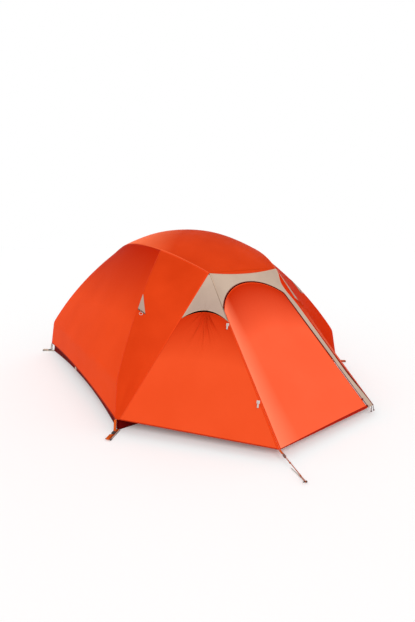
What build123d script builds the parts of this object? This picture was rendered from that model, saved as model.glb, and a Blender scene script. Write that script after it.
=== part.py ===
"""Four-person dome tent with its rain fly pitched over two crossed poles and two brow poles.

Millimetres, +Z up, origin on the ground under the middle of the floor. The front, with the
vestibule, faces -Y. Fabric panels are thin solids that meet face to face on their seam planes.
"""

from collections import namedtuple
from math import asin, cos, hypot, pi, radians, sin, sqrt, tan
import os

from build123d import *

os.makedirs("parts", exist_ok=True)

# Plan: the main poles stand on the diagonals of this rectangle
PLAN_HALF_X = 1315.0
PLAN_HALF_Y = 1140.0

# Main poles, each drawn in the upright plane of its diagonal
PEAK_Z = 1484.0
TOP_R = 1463.0
TOP_ANGLE = 36.0
ELBOW_OUT = 1657.0
ELBOW_Z = 401.0
ELBOW_R = 150.0
LEG_LEAN = 11.5
FOOT_Z = 34.0

# Pole tubing and what joins it
POLE_R = 4.75
POLE_BORE_R = 4.0
MAIN_SECTIONS = 9
BROW_SECTIONS = 5
SECTION_GAP = 0.6
FERRULE_LENGTH = 70.0
FERRULE_CLEARANCE = 0.15
SHOCK_CORD_R = 1.4
CROSS_GAP = 1.2
CLIP_WALL = 1.8
CLIP_CLEARANCE = 0.5
CLIP_WIDTH = 16.0
CLIP_MOUTH = 6.4
CLIP_LEG_Z = 240.0
CLIP_SHARES = (0.2, 0.6)
CLIP_TOP_OUT = 520.0
HUB_R = 21.0
CROSS_CLIP_R = 12.0
CROSS_CLIP_LIP = 2.0
TIP_LENGTH = 16.0
TIP_PIN_R = 2.6
BROW_TIP_BACK = 40.0
BROW_TIP_LENGTH = 10.0

# Brow corners of the fly, where the two brow poles end in front and behind
BROW_X = 395.0
BROW_Y = 1037.0
BROW_Z = 1124.0
CROSS_OUT = 747.0

# Rain fly
FLY_T = 2.0
FLY_GAP = 7.0
HEM_Z = 100.0
HEM_RISE = 46.0
HEM_SPARE = 45.0
SEAM_STEP = 30.0
ROOF_EASE = 3.0
ROOF_END_CROWN = 2.0
ROOF_FALL = 1.3

# Vestibule
VEST_X = 552.0
VEST_Y = 2070.0
VEST_Z = 70.0
VENT_DROP_REAR = 462.0
VENT_DROP_FRONT = 497.0
VENT_RISE = 80.0
VENT_SLOT = 16.0
VENT_TOP = 16.0
DOOR_GAP = 0.35
DOOR_CROWN_X = -40.0
DOOR_CROWN_DOWN = 122.0
DOOR_ARCH_R = 450.0
DOOR_SHOULDER_R = 70.0
STRIP_FOOT = 84.0
ZIP_LEAN = 7.5
ZIP_GAP = 13.0
ZIP_WIDTH = 5.0
ZIP_T = 3.0

# Zip sliders, their pulls, and the toggles that tie the rolled door
SLIDER_LENGTH = 17.0
SLIDER_OVERLAP = 4.0
SLIDER_WEB = 3.0
SLIDER_PLATE = 1.6
SLIDER_CLEARANCE = 0.5
SLIDER_START = 14.0
SLIDER_STEP = 62.0
EYE_WALL = 1.5
EAR_T = 1.6
PIVOT_R = 1.2
PIVOT_CLEARANCE = 0.1
PIVOT_SIDE = 0.4
PULL_LENGTH = 42.0
PULL_WIDTH = 5.0
PULL_T = 2.4
TOGGLE_DROPS = (512.0, 1150.0)
TOGGLE_R = 6.5
TOGGLE_LENGTH = 28.0
TOGGLE_NECK = 14.0
TOGGLE_IN = 15.0
TOGGLE_PLATE = 22.0
TOGGLE_PLATE_T = 1.6

# Inner tent
FLOOR_OUT = 1720.0
FLOOR_INSET = 60.0
FLOOR_T = 2.0
TUB_HEIGHT = 150.0
CANOPY_T = 2.0
CANOPY_SEAM = 0.3
CLIP_DROP = 20.0
CLIP_TAB_T = 2.0
CLIP_TAB_END = 3.2
CANOPY_TOP_OUT = 330.0
ELBOW_INSET = 40.0
MID_INSET = 14.0
INNER_DOOR_HALF = 400.0
INNER_DOOR_FOOT = 30.0
INNER_DOOR_TOP = 1000.0
INNER_DOOR_ROUND = 260.0
INNER_DOOR_GAP = 3.0

# Corner straps, grommets, buckles and stakes
STRAP_T = 2.0
STRAP_WIDTH = 28.0
STRAP_Z = 7.0
STRAP_SEAM = 0.5
LOOP_START = 1806.0
LOOP_LENGTH = 60.0
LOOP_HEIGHT = 12.0
LOOP_ROUND = 5.0
GROMMET_R = 8.0
GROMMET_T = 1.2
GROMMET_BARREL_R = 5.6
GROMMET_BORE_R = 4.3
TIP_PIN_Z = 3.0
FLY_STRAP_WIDTH = 20.0
FLY_STRAP_T = 2.0
FLY_STRAP_SEAM = 1.0
SEAT_GAP = 0.3
BUCKLE_LENGTH = 26.0
BUCKLE_WIDTH = 24.0
BUCKLE_T = 9.0
BUCKLE_WALL = 1.8
BUCKLE_START = 1767.0
BUCKLE_ROUND = 2.5
PRONG_BAR = 6.5
STAKE_R = 3.0
STAKE_LENGTH = 150.0
STAKE_SIDE = 20.0
STAKE_ROUND = 5.0
STAKE_POINT = 16.0
STAKE_TIP_R = 0.6

# Guy line at the vestibule's left corner
GUY_REACH = 255.0
GUY_ASIDE = 42.0
GUY_FALL = 56.0
CORD_R = 1.8
TAB_START = 1.7
TAB_WIDTH = 16.0
TAB_LENGTH = 34.0
TAB_T = 2.0
TAB_HOLE_AT = 26.0
TENSIONER_LENGTH = 24.0
TENSIONER_WIDTH = 18.0
TENSIONER_T = 8.0
TENSIONER_START = 40.0
TENSIONER_ROUND = 2.0
CORD_SPREAD = 4.2
CORD_CLEARANCE = 0.4
KNOT_AT = 110.0
END_KNOT_AT = 214.0
KNOT_R = 6.0
KNOT_ENTRY = 2.0
FORK_LENGTH = 20.0
HOOK_AT = 258.0
HOOK_CLEARANCE = 0.2
GUY_STAKE_SIDE = 14.0

# Guy-out patches on the ridges, and the loops at mid hem
PATCH_TOP_OUT = 1180.0
PATCH_FOOT_OUT = 1290.0
PATCH_WIDTH = 84.0
PATCH_T = 1.2
PATCH_TIP = 4.0
PATCH_LIFT = 1.4
GUY_LOOP_R = 13.0
GUY_LOOP_CORD_R = 1.6
HEM_LOOP_WIDTH = 18.0
HEM_LOOP_LENGTH = 34.0
HEM_LOOP_DEPTH = 8.0
HEM_LOOP_T = 1.8

# Values worked out from the driving dimensions
DIAGONAL = hypot(PLAN_HALF_X, PLAN_HALF_Y)
UX = PLAN_HALF_X / DIAGONAL
UY = PLAN_HALF_Y / DIAGONAL
CROSS_STEP = 2 * POLE_R + CROSS_GAP
FLY_LIFT = POLE_R + FLY_GAP
CANOPY_LIFT = -(POLE_R + CLIP_DROP)
CORNERS = ((-1, -1), (1, -1), (-1, 1), (1, 1))
UP = Vector(0, 0, 1)

Level = namedtuple("Level", "out z n_out n_z along")
Profile = namedtuple("Profile", "top_z side_out side_z side_r elbow_angle vertex bend foot")


def main_profile(peak):
    """A main pole's centreline: top arc, tangent side arc, tangent elbow, straight leg."""
    angle = radians(TOP_ANGLE)
    top_z = peak - TOP_R
    joint_out = TOP_R * sin(angle)
    joint_z = top_z + TOP_R * cos(angle)
    gap_out = joint_out - ELBOW_OUT
    gap_z = joint_z - ELBOW_Z
    side_r = (gap_out**2 + gap_z**2) / (2 * (sin(angle) * gap_out + cos(angle) * gap_z))
    side_out = joint_out - side_r * sin(angle)
    side_z = joint_z - side_r * cos(angle)
    elbow = asin((ELBOW_OUT - side_out) / side_r)
    leg = radians(90 - LEG_LEAN)
    reach = ELBOW_R * tan((leg - elbow) / 2)
    vertex = (ELBOW_OUT + reach * cos(elbow), ELBOW_Z - reach * sin(elbow))
    bend = (
        ELBOW_OUT + ELBOW_R * (sin(leg) - sin(elbow)),
        ELBOW_Z + ELBOW_R * (cos(leg) - cos(elbow)),
    )
    foot = (bend[0] + (bend[1] - FOOT_Z) * tan(radians(LEG_LEAN)), FOOT_Z)
    return Profile(top_z, side_out, side_z, side_r, elbow, vertex, bend, foot)


OVER = main_profile(PEAK_Z + CROSS_STEP / 2)
UNDER = main_profile(PEAK_Z - CROSS_STEP / 2)
LEG_LENGTH = hypot(OVER.vertex[0] - OVER.foot[0], OVER.vertex[1] - OVER.foot[1])


def on_leg(z, profile=OVER):
    """Level on the straight leg at a height."""
    lean = radians(LEG_LEAN)
    out = profile.foot[0] - (z - FOOT_Z) * tan(lean)
    return Level(out, z, cos(lean), sin(lean), (z - FOOT_Z) / cos(lean))


def at_elbow(profile=OVER):
    """Level at the corner of the elbow's two tangents, with the mitre as its normal."""
    leg = radians(90 - LEG_LEAN)
    middle = (leg + profile.elbow_angle) / 2
    stretch = 1 / cos((leg - profile.elbow_angle) / 2)
    return Level(*profile.vertex, stretch * sin(middle), stretch * cos(middle), LEG_LENGTH)


def at_angle(angle, profile=OVER):
    """Level on the side arc or the top arc, by the angle of its normal from the vertical."""
    side_length = profile.side_r * (profile.elbow_angle - max(angle, radians(TOP_ANGLE)))
    if angle > radians(TOP_ANGLE):
        out = profile.side_out + profile.side_r * sin(angle)
        z = profile.side_z + profile.side_r * cos(angle)
        return Level(out, z, sin(angle), cos(angle), LEG_LENGTH + side_length)
    along = LEG_LENGTH + side_length + TOP_R * (radians(TOP_ANGLE) - angle)
    out = TOP_R * sin(angle)
    return Level(out, profile.top_z + TOP_R * cos(angle), sin(angle), cos(angle), along)


def at_out(out, profile=OVER):
    """Level on an arc at a distance from the middle."""
    if out > TOP_R * sin(radians(TOP_ANGLE)):
        return at_angle(asin((out - profile.side_out) / profile.side_r), profile)
    return at_angle(asin(out / TOP_R), profile)


def lifted(level, lift):
    """A level's distance out and height, moved along its normal."""
    return level.out + lift * level.n_out, level.z + lift * level.n_z


def corner_point(side, end, out, z):
    """Point on a diagonal: side is -1 left or +1 right, end is -1 front or +1 rear."""
    return Vector(side * UX * out, end * UY * out, z)


def diagonal_normal(side, end):
    """Normal of the upright plane of a diagonal."""
    return Vector(-end * UY, side * UX, 0)


def side_levels(start, stop, count):
    """Levels spread evenly along the side arc, from the elbow upward."""
    return [
        at_angle(OVER.elbow_angle + (radians(TOP_ANGLE) - OVER.elbow_angle) * i / count)
        for i in range(start, stop + 1)
    ]


def fabric_strip(first, last, normal, first_cut, last_cut, thickness, bulge=0.0):
    """Thin cross-section of a panel between two seams, its ends lying on the seam planes."""
    span = last - first
    along = span.normalized()
    rise = (normal - along * normal.dot(along)).normalized()
    length = span.length
    start = -thickness * rise.dot(first_cut) / along.dot(first_cut)
    stop = length - thickness * rise.dot(last_cut) / along.dot(last_cut)
    middle = (start + stop) / 2
    with BuildSketch(Plane(origin=first, x_dir=along, z_dir=along.cross(rise))) as strip:
        with BuildLine():
            if bulge:
                ThreePointArc((0, 0), (length / 2, bulge), (length, 0))
                Line((length, 0), (stop, thickness))
                ThreePointArc((stop, thickness), (middle, thickness + bulge), (start, thickness))
                Line((start, thickness), (0, 0))
            else:
                Polyline((0, 0), (length, 0), (stop, thickness), (start, thickness), close=True)
        make_face()
    return strip.sketch


def side_strip(side, level, lift, thickness, bulge=0.0):
    """Cross-section of a side panel, from the front diagonal to the rear one."""
    out, z = lifted(level, lift)
    normal = Vector(side * level.n_out * UX, 0, level.n_z)
    ends = [corner_point(side, end, out, z) for end in (-1, 1)]
    cuts = [diagonal_normal(side, end) for end in (-1, 1)]
    return fabric_strip(*ends, normal, *cuts, thickness, bulge)


def end_strip(end, level, lift, thickness, bulge=0.0):
    """Cross-section of a front or rear panel, from the left diagonal to the right one."""
    out, z = lifted(level, lift)
    normal = Vector(0, end * level.n_out * UY, level.n_z)
    ends = [corner_point(side, end, out, z) for side in (-1, 1)]
    cuts = [diagonal_normal(side, end) for side in (-1, 1)]
    return fabric_strip(*ends, normal, *cuts, thickness, bulge)


# Brow arcs: each lies in a plane that leans outward and holds the brow corners
CROSS_LEVEL = at_out(CROSS_OUT)
CROSS_FLY_OUT, CROSS_FLY_Z = lifted(CROSS_LEVEL, CROSS_STEP + FLY_LIFT)
CROSS_FLY_Y = CROSS_FLY_OUT * UY
BROW_SPAN = hypot(CROSS_FLY_OUT * UX - BROW_X, CROSS_FLY_Z - BROW_Z)
BROW_WX = (CROSS_FLY_OUT * UX - BROW_X) / BROW_SPAN
BROW_WZ = (CROSS_FLY_Z - BROW_Z) / BROW_SPAN
BROW_CENTRE = (CROSS_FLY_Y**2 + BROW_SPAN**2 - BROW_Y**2) / (2 * BROW_SPAN)
BROW_FLY_R = hypot(BROW_Y, BROW_CENTRE)
BROW_POLE_R = BROW_FLY_R - FLY_LIFT


def brow_point(side, y, radius):
    """Point on a brow arc at a distance from the middle of the tent."""
    reach = BROW_CENTRE + sqrt(radius**2 - y**2)
    return Vector(side * (BROW_X + BROW_WX * reach), y, BROW_Z + BROW_WZ * reach)


def brow_normal(side):
    """Normal of a brow arc's plane."""
    return Vector(-side * BROW_WZ, 0, BROW_WX)


def brow_out(side):
    """Direction in a brow arc's plane that points out of the tent, across the fly."""
    return Vector(side * BROW_WX, 0, BROW_WZ)


def brow_crossing_y(radius):
    """Distance from the middle at which a brow arc passes over a diagonal."""
    y = CROSS_FLY_Y
    for _ in range(30):
        y = brow_point(1, y, radius).X * UY / UX
    return y


def sagitta(radius, chord):
    """Rise of an arc over its chord."""
    return radius - sqrt(radius**2 - chord**2 / 4)


def swept_round(path, radius, bore=0.0):
    """Round bar or tube along a path."""
    with BuildSketch(Plane(origin=path @ 0, z_dir=path % 0)) as profile:
        Circle(radius)
        if bore:
            Circle(bore, mode=Mode.SUBTRACT)
    sweep(sections=profile.sketch, path=path, clean=False)


def main_path(side, profile):
    """Centreline of the main pole from the rear corner on one side to the front of the other."""
    plane = Plane(origin=(0, 0, 0), x_dir=(-side * UX, -UY, 0), z_dir=(-UY, side * UX, 0))
    angle = radians(TOP_ANGLE)
    half = (angle + profile.elbow_angle) / 2
    joint = (TOP_R * sin(angle), profile.top_z + TOP_R * cos(angle))
    side_mid = (
        profile.side_out + profile.side_r * sin(half),
        profile.side_z + profile.side_r * cos(half),
    )
    turn = (radians(90 - LEG_LEAN) + profile.elbow_angle) / 2
    bend_mid = (
        ELBOW_OUT + ELBOW_R * (sin(turn) - sin(profile.elbow_angle)),
        ELBOW_Z + ELBOW_R * (cos(turn) - cos(profile.elbow_angle)),
    )
    with BuildLine(plane, mode=Mode.PRIVATE) as path:
        for way in (-1, 1):
            Line((way * profile.foot[0], FOOT_Z), (way * profile.bend[0], profile.bend[1]))
            ThreePointArc(
                (way * profile.bend[0], profile.bend[1]),
                (way * bend_mid[0], bend_mid[1]),
                (way * ELBOW_OUT, ELBOW_Z),
            )
            ThreePointArc(
                (way * ELBOW_OUT, ELBOW_Z),
                (way * side_mid[0], side_mid[1]),
                (way * joint[0], joint[1]),
            )
        ThreePointArc((-joint[0], joint[1]), (0, profile.top_z + TOP_R), joint)
    return path.wires()[0]


def brow_path(side):
    """Centreline of a brow pole from its front tip to its rear tip."""
    tip = BROW_Y - BROW_TIP_BACK
    with BuildLine(mode=Mode.PRIVATE) as path:
        ThreePointArc(
            brow_point(side, -tip, BROW_POLE_R),
            brow_point(side, 0, BROW_POLE_R),
            brow_point(side, tip, BROW_POLE_R),
        )
    return path.wires()[0]


POLES = {
    "main_pole_over": (main_path(-1, OVER), MAIN_SECTIONS),
    "main_pole_under": (main_path(1, UNDER), MAIN_SECTIONS),
    "brow_pole_left": (brow_path(-1), BROW_SECTIONS),
    "brow_pole_right": (brow_path(1), BROW_SECTIONS),
}

# Pole sections: butted tubes, a small gap apart at each ferrule
for pole_name, (pole_path, section_count) in POLES.items():
    half_gap = SECTION_GAP / 2 / pole_path.length
    with BuildPart() as pole:
        for section in range(section_count):
            start = max(section / section_count + half_gap, 0)
            stop = (section + 1) / section_count - half_gap
            swept_round(pole_path.trim(start, stop), POLE_R, POLE_BORE_R)
    pole.part.label = pole_name
    export_step(pole.part, f"parts/{pole_name}.step")

# Ferrules: the pins inside each joint of the poles
with BuildPart() as pole_ferrules:
    for pole_path, section_count in POLES.values():
        half_pin = FERRULE_LENGTH / 2 / pole_path.length
        for joint_index in range(1, section_count):
            middle = joint_index / section_count
            pin = pole_path.trim(middle - half_pin, middle + half_pin)
            swept_round(pin, POLE_BORE_R - FERRULE_CLEARANCE, SHOCK_CORD_R + FERRULE_CLEARANCE)
pole_ferrules.part.label = "pole_ferrules"
export_step(pole_ferrules.part, "parts/pole_ferrules.step")

# Shock cord through every pole
with BuildPart() as shock_cords:
    for pole_path, section_count in POLES.values():
        swept_round(pole_path, SHOCK_CORD_R)
shock_cords.part.label = "shock_cords"
export_step(shock_cords.part, "parts/shock_cords.step")


# Seam points and planes of the fly
def hem_corner(side, end):
    """Corner of the fly's hem on a diagonal."""
    level = on_leg(HEM_Z)
    return corner_point(side, end, *lifted(level, FLY_LIFT))


def brow_corner(side, end):
    """Corner of the fly over the tip of a brow pole."""
    return Vector(side * BROW_X, end * BROW_Y, BROW_Z)


def vestibule_corner(side):
    """Front corner of the vestibule's hem."""
    return Vector(side * VEST_X, -VEST_Y, VEST_Z)


def seam_foot(side, end):
    """Foot of the seam that runs from a brow corner to the hem, just past the ridge."""
    corner = hem_corner(side, end)
    goal = vestibule_corner(side) if end < 0 else hem_corner(-side, end)
    step = goal - corner
    return corner + Vector(step.X, step.Y, 0).normalized() * SEAM_STEP


def outward(first, second, third):
    """Unit normal of three points, turned away from the middle of the tent."""
    normal = (second - first).cross(third - first).normalized()
    return normal if normal.dot(first - Vector(0, 0, first.Z / 2)) > 0 else -normal


def end_panel_normal(side, end):
    """Normal of the flat panel beside a gusset: the vestibule's side, or the rear panel."""
    third = vestibule_corner(side) if end < 0 else seam_foot(-side, end)
    return outward(brow_corner(side, end), seam_foot(side, end), third)


FRONT_NORMAL = outward(brow_corner(-1, -1), brow_corner(1, -1), vestibule_corner(-1))
FRONT_DOWN = (vestibule_corner(1) + vestibule_corner(-1)) * 0.5 - Vector(0, -BROW_Y, BROW_Z)
FRONT_LENGTH = FRONT_DOWN.length
FRONT_PLANE = Plane(origin=(0, -BROW_Y, BROW_Z), x_dir=(1, 0, 0), z_dir=FRONT_NORMAL)


def gusset_cut(side, end):
    """Normal of the seam plane between a gusset and the flat panel beside it."""
    top = brow_corner(side, end)
    foot = seam_foot(side, end)
    ridge_out, ridge_z = lifted(at_angle((OVER.elbow_angle + radians(TOP_ANGLE)) / 2), FLY_LIFT)
    gusset = outward(top, foot, corner_point(side, end, ridge_out, ridge_z))
    bisector = gusset + end_panel_normal(side, end)
    return (foot - top).cross(bisector).normalized()


def vestibule_cut(side):
    """Normal of the seam plane between the vestibule's side and its front."""
    bisector = FRONT_NORMAL + end_panel_normal(side, -1)
    return (vestibule_corner(side) - brow_corner(side, -1)).cross(bisector).normalized()


# Levels at which the curved panels are drawn: two on the leg, the rest up to the brow
LEG_LEVELS = (on_leg(HEM_Z), at_elbow())
ARC_STEPS = 4
ARC_LEVELS = [at_elbow()] + side_levels(1, ARC_STEPS, ARC_STEPS)
ARC_LENGTH = CROSS_LEVEL.along - LEG_LENGTH
SIDE_BULGE = sagitta(BROW_FLY_R, 2 * CROSS_FLY_Y)


def bulge_share(level):
    """How much of the brow's bulge has grown into a panel at a level."""
    return ((level.along - LEG_LENGTH) / ARC_LENGTH) ** 3


# Fly sides: from the hem over the elbow and up to the brow arc
for side, panel_name in ((-1, "fly_left_side"), (1, "fly_right_side")):
    low = on_leg(HEM_Z - HEM_SPARE)
    with BuildPart() as panel:
        loft([side_strip(side, level, FLY_LIFT, FLY_T) for level in (low, at_elbow())], ruled=True)
        strips = [
            side_strip(side, level, FLY_LIFT, FLY_T, SIDE_BULGE * bulge_share(level))
            for level in ARC_LEVELS
        ]
        strips.append(
            fabric_strip(
                brow_point(side, -CROSS_FLY_Y, BROW_FLY_R),
                brow_point(side, CROSS_FLY_Y, BROW_FLY_R),
                brow_out(side),
                diagonal_normal(side, -1),
                diagonal_normal(side, 1),
                FLY_T,
                SIDE_BULGE,
            )
        )
        loft(strips)
        with BuildSketch(Plane.YZ) as hem:
            with BuildLine():
                hem_arc = ThreePointArc(
                    (-PLAN_HALF_Y - HEM_SPARE, HEM_Z - HEM_RISE * 2 * HEM_SPARE / PLAN_HALF_Y),
                    (0, HEM_Z + HEM_RISE),
                    (PLAN_HALF_Y + HEM_SPARE, HEM_Z - HEM_RISE * 2 * HEM_SPARE / PLAN_HALF_Y),
                )
                Polyline(
                    hem_arc @ 1,
                    (PLAN_HALF_Y + HEM_SPARE, 0),
                    (-PLAN_HALF_Y - HEM_SPARE, 0),
                    hem_arc @ 0,
                )
            make_face()
        extrude(amount=PLAN_HALF_X + HEM_SPARE, both=True, mode=Mode.SUBTRACT)
    panel.part.label = panel_name
    export_step(panel.part, f"parts/{panel_name}.step")

# Roof: from brow arc to brow arc, crowned over the crossing of the main poles
ROOF_CROWN = OVER.top_z + TOP_R + FLY_LIFT + ROOF_EASE - brow_point(1, 0, BROW_FLY_R).Z
ROOF_STEPS = 4
with BuildPart() as fly_roof:
    roof_strips = []
    for step in range(-ROOF_STEPS, ROOF_STEPS + 1):
        share = abs(step) / ROOF_STEPS
        crown = ROOF_CROWN * cos(pi / 2 * share**ROOF_FALL) + ROOF_END_CROWN
        edges = [brow_point(side, BROW_Y * step / ROOF_STEPS, BROW_FLY_R) for side in (-1, 1)]
        roof_strips.append(fabric_strip(*edges, UP, brow_normal(-1), brow_normal(1), FLY_T, crown))
    loft(roof_strips)
fly_roof.part.label = "fly_roof"
export_step(fly_roof.part, "parts/fly_roof.step")

# Gussets: between each ridge, the brow arc above it and the straight seam to the brow corner
GUSSETS = {
    "gusset_front_left": (-1, -1),
    "gusset_front_right": (1, -1),
    "gusset_rear_left": (-1, 1),
    "gusset_rear_right": (1, 1),
}


def gusset_strip(side, end, level):
    """Cross-section of a gusset at a level of its ridge."""
    hem_along = on_leg(HEM_Z).along
    share = (level.along - hem_along) / (CROSS_LEVEL.along - hem_along)
    foot = seam_foot(side, end)
    seam = foot + (brow_corner(side, end) - foot) * share
    ridge = corner_point(side, end, *lifted(level, FLY_LIFT))
    normal = end_panel_normal(side, end)
    bulge = GUSSET_BULGE * bulge_share(level) if level.along > LEG_LENGTH else 0.0
    cuts = (diagonal_normal(side, end), gusset_cut(side, end))
    return fabric_strip(ridge, seam, normal, *cuts, FLY_T, bulge)


GUSSET_CHORD = (brow_point(1, CROSS_FLY_Y, BROW_FLY_R) - brow_corner(1, 1)).length
GUSSET_BULGE = sagitta(BROW_FLY_R, GUSSET_CHORD)
for gusset_name, (side, end) in GUSSETS.items():
    with BuildPart() as gusset:
        loft([gusset_strip(side, end, level) for level in LEG_LEVELS], ruled=True)
        strips = [gusset_strip(side, end, level) for level in ARC_LEVELS]
        strips.append(
            fabric_strip(
                brow_point(side, end * CROSS_FLY_Y, BROW_FLY_R),
                brow_corner(side, end),
                brow_out(side),
                diagonal_normal(side, end),
                gusset_cut(side, end),
                FLY_T,
                GUSSET_BULGE,
            )
        )
        loft(strips)
    gusset.part.label = gusset_name
    export_step(gusset.part, f"parts/{gusset_name}.step")


def flat_strip(side, share):
    """Cross-section of the vestibule's side at a share of the way down from the brow corner."""
    top = brow_corner(side, -1)
    first = top + (seam_foot(side, -1) - top) * share
    last = top + (vestibule_corner(side) - top) * share
    cuts = (gusset_cut(side, -1), vestibule_cut(side))
    return fabric_strip(first, last, end_panel_normal(side, -1), *cuts, FLY_T)


def vent_arch(side, rise, drop):
    """Region of the vestibule's side above an arch between its two seams."""
    top = brow_corner(side, -1)
    rear = (seam_foot(side, -1) - top).normalized()
    front = (vestibule_corner(side) - top).normalized()
    plane = Plane(origin=top, x_dir=front - rear, z_dir=end_panel_normal(side, -1))
    first = plane.to_local_coords(top + rear * (VENT_DROP_REAR + drop))
    last = plane.to_local_coords(top + front * (VENT_DROP_FRONT + drop))
    chord = last - first
    across = Vector(-chord.Y, chord.X, 0).normalized()
    across = across if across.dot(first * -1) > 0 else -across
    crest = (first + last) * 0.5 + across * rise
    spare = chord.normalized() * VENT_DROP_REAR
    above = across * VENT_DROP_FRONT * 2
    corners = [last, last + spare, last + spare + above, first - spare + above, first - spare, first]
    with BuildSketch(plane) as region:
        with BuildLine():
            ThreePointArc((first.X, first.Y), (crest.X, crest.Y), (last.X, last.Y))
            Polyline(*[(corner.X, corner.Y) for corner in corners])
        make_face()
    return region.sketch


# Vestibule sides and the vent hoods above them
for side, side_name in ((-1, "left"), (1, "right")):
    depth = 4 * FLY_T
    with BuildPart() as hood:
        loft([flat_strip(side, VENT_TOP / VENT_DROP_REAR), flat_strip(side, 0.6)], ruled=True)
        extrude(vent_arch(side, VENT_RISE, 0), amount=depth, both=True, mode=Mode.INTERSECT)
    hood.part.label = f"vent_hood_{side_name}"
    export_step(hood.part, f"parts/vent_hood_{side_name}.step")
    with BuildPart() as vestibule_side:
        loft([flat_strip(side, 0.2), flat_strip(side, 1)], ruled=True)
        extrude(vent_arch(side, VENT_RISE, VENT_SLOT), amount=depth, both=True, mode=Mode.SUBTRACT)
    vestibule_side.part.label = f"vestibule_{side_name}"
    export_step(vestibule_side.part, f"parts/vestibule_{side_name}.step")

# Rear panel
with BuildPart() as fly_rear:
    rear_rows = [[brow_corner(side, 1) for side in (-1, 1)], [seam_foot(side, 1) for side in (-1, 1)]]
    rear_cuts = [gusset_cut(side, 1) for side in (-1, 1)]
    loft(
        [fabric_strip(*row, end_panel_normal(-1, 1), *rear_cuts, FLY_T) for row in rear_rows],
        ruled=True,
    )
fly_rear.part.label = "fly_rear"
export_step(fly_rear.part, "parts/fly_rear.step")


# Front of the vestibule, drawn on its plane: x to the right, y up the slope
DOOR_CENTRE = Vector(DOOR_CROWN_X, -DOOR_CROWN_DOWN - DOOR_ARCH_R)
ZIP_FOOT = Vector(VEST_X - STRIP_FOOT, -FRONT_LENGTH)
ZIP_UP = Vector(0, 1).rotate(Axis.Z, ZIP_LEAN)
ZIP_OUT = Vector(1, 0).rotate(Axis.Z, ZIP_LEAN)


def doorway(inset):
    """Outline of the doorway, open past the hinge seam and the hem, its zip edge moved in."""
    foot = ZIP_FOOT - ZIP_OUT * inset - ZIP_UP * VEST_Z
    head = foot + ZIP_UP * 2 * FRONT_LENGTH
    far = -2 * VEST_X
    with BuildSketch(FRONT_PLANE) as outline:
        with Locations((DOOR_CENTRE.X, DOOR_CENTRE.Y)):
            Circle(DOOR_ARCH_R - inset)
        with BuildLine():
            Polyline(
                (far, DOOR_CENTRE.Y),
                (VEST_X, DOOR_CENTRE.Y),
                (VEST_X, foot.Y),
                (far, foot.Y),
                close=True,
            )
        make_face()
        with BuildLine():
            Polyline((foot.X, foot.Y), (head.X, head.Y), (far, head.Y), (far, foot.Y), close=True)
        make_face(mode=Mode.INTERSECT)
        fillet(outline.vertices().sort_by(Axis.Y)[-1], DOOR_SHOULDER_R - inset)
    return outline.sketch


def front_face():
    """The vestibule's front between its seams, held off the hinge seam by the door's gap."""
    with BuildSketch(FRONT_PLANE) as face:
        with BuildLine():
            Polyline(
                (DOOR_GAP - BROW_X, 0),
                (BROW_X, 0),
                (VEST_X, -FRONT_LENGTH),
                (DOOR_GAP - VEST_X, -FRONT_LENGTH),
                close=True,
            )
        make_face()
    return face.sketch


# Brow header with the strip that runs down beside the zip
with BuildPart() as brow_header:
    front_rows = [
        [brow_corner(side, -1) for side in (-1, 1)],
        [vestibule_corner(side) for side in (-1, 1)],
    ]
    front_cuts = [vestibule_cut(side) for side in (-1, 1)]
    loft([fabric_strip(*row, FRONT_NORMAL, *front_cuts, FLY_T) for row in front_rows], ruled=True)
    extrude(doorway(0), amount=4 * FLY_T, both=True, mode=Mode.SUBTRACT)
brow_header.part.label = "brow_header"
export_step(brow_header.part, "parts/brow_header.step")

# Vestibule door, hinged along the left front seam
with BuildPart() as vestibule_door:
    extrude(front_face(), amount=FLY_T)
    extrude(doorway(ZIP_GAP), amount=FLY_T, mode=Mode.INTERSECT)
vestibule_door.part.label = "vestibule_door"
export_step(vestibule_door.part, "parts/vestibule_door.step")

# Zip chain round the doorway, sewn to the header's edge
with BuildPart() as zip_chain:
    extrude(front_face(), amount=ZIP_T)
    extrude(doorway(0), amount=ZIP_T, mode=Mode.INTERSECT)
    extrude(doorway(ZIP_WIDTH), amount=ZIP_T, mode=Mode.SUBTRACT)
zip_chain.part.label = "zip_chain"
export_step(zip_chain.part, "parts/zip_chain.step")


def hanger(height, width):
    """Two ears on the current plane and the pin between them, along x."""
    reach = PIVOT_R + EYE_WALL
    for way in (-1, 1):
        with Locations((way * (width + EAR_T) / 2, 0, 0)):
            Box(EAR_T, 2 * reach, height + reach, align=(Align.CENTER, Align.CENTER, Align.MIN))
    with Locations(Location((0, 0, height), (0, 90, 0))):
        Cylinder(PIVOT_R, width + EAR_T)


def hanging_eye(width, hole=False):
    """Eye of a hanging piece round its pin, or the pin's hole through it."""
    with Locations(Location((0, 0, 0), (0, 90, 0))):
        if hole:
            Cylinder(PIVOT_R + PIVOT_CLEARANCE, 2 * width, mode=Mode.SUBTRACT)
        else:
            Cylinder(PIVOT_R + EYE_WALL, width)


# Zip sliders: two plates round the chain, joined on the door's side, with ears for the pull
SLIDER_TOP = ZIP_T + SLIDER_CLEARANCE + SLIDER_PLATE
SLIDER_INNER = ZIP_WIDTH + SLIDER_CLEARANCE + SLIDER_WEB
SLIDER_MIDDLE = (SLIDER_OVERLAP - SLIDER_INNER) / 2
PULL_HEIGHT = PIVOT_R + EYE_WALL + PIVOT_SIDE
SLIDERS = {"lower": SLIDER_START, "upper": SLIDER_START + SLIDER_STEP}


def zip_plane(along):
    """Plane on the zip's straight run: x out of the doorway, y up the zip, z off the fabric."""
    point = FRONT_PLANE.from_local_coords(ZIP_FOOT + ZIP_UP * along)
    across = FRONT_PLANE.from_local_coords(ZIP_OUT) - FRONT_PLANE.origin
    return Plane(origin=point, x_dir=across, z_dir=FRONT_NORMAL)


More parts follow.
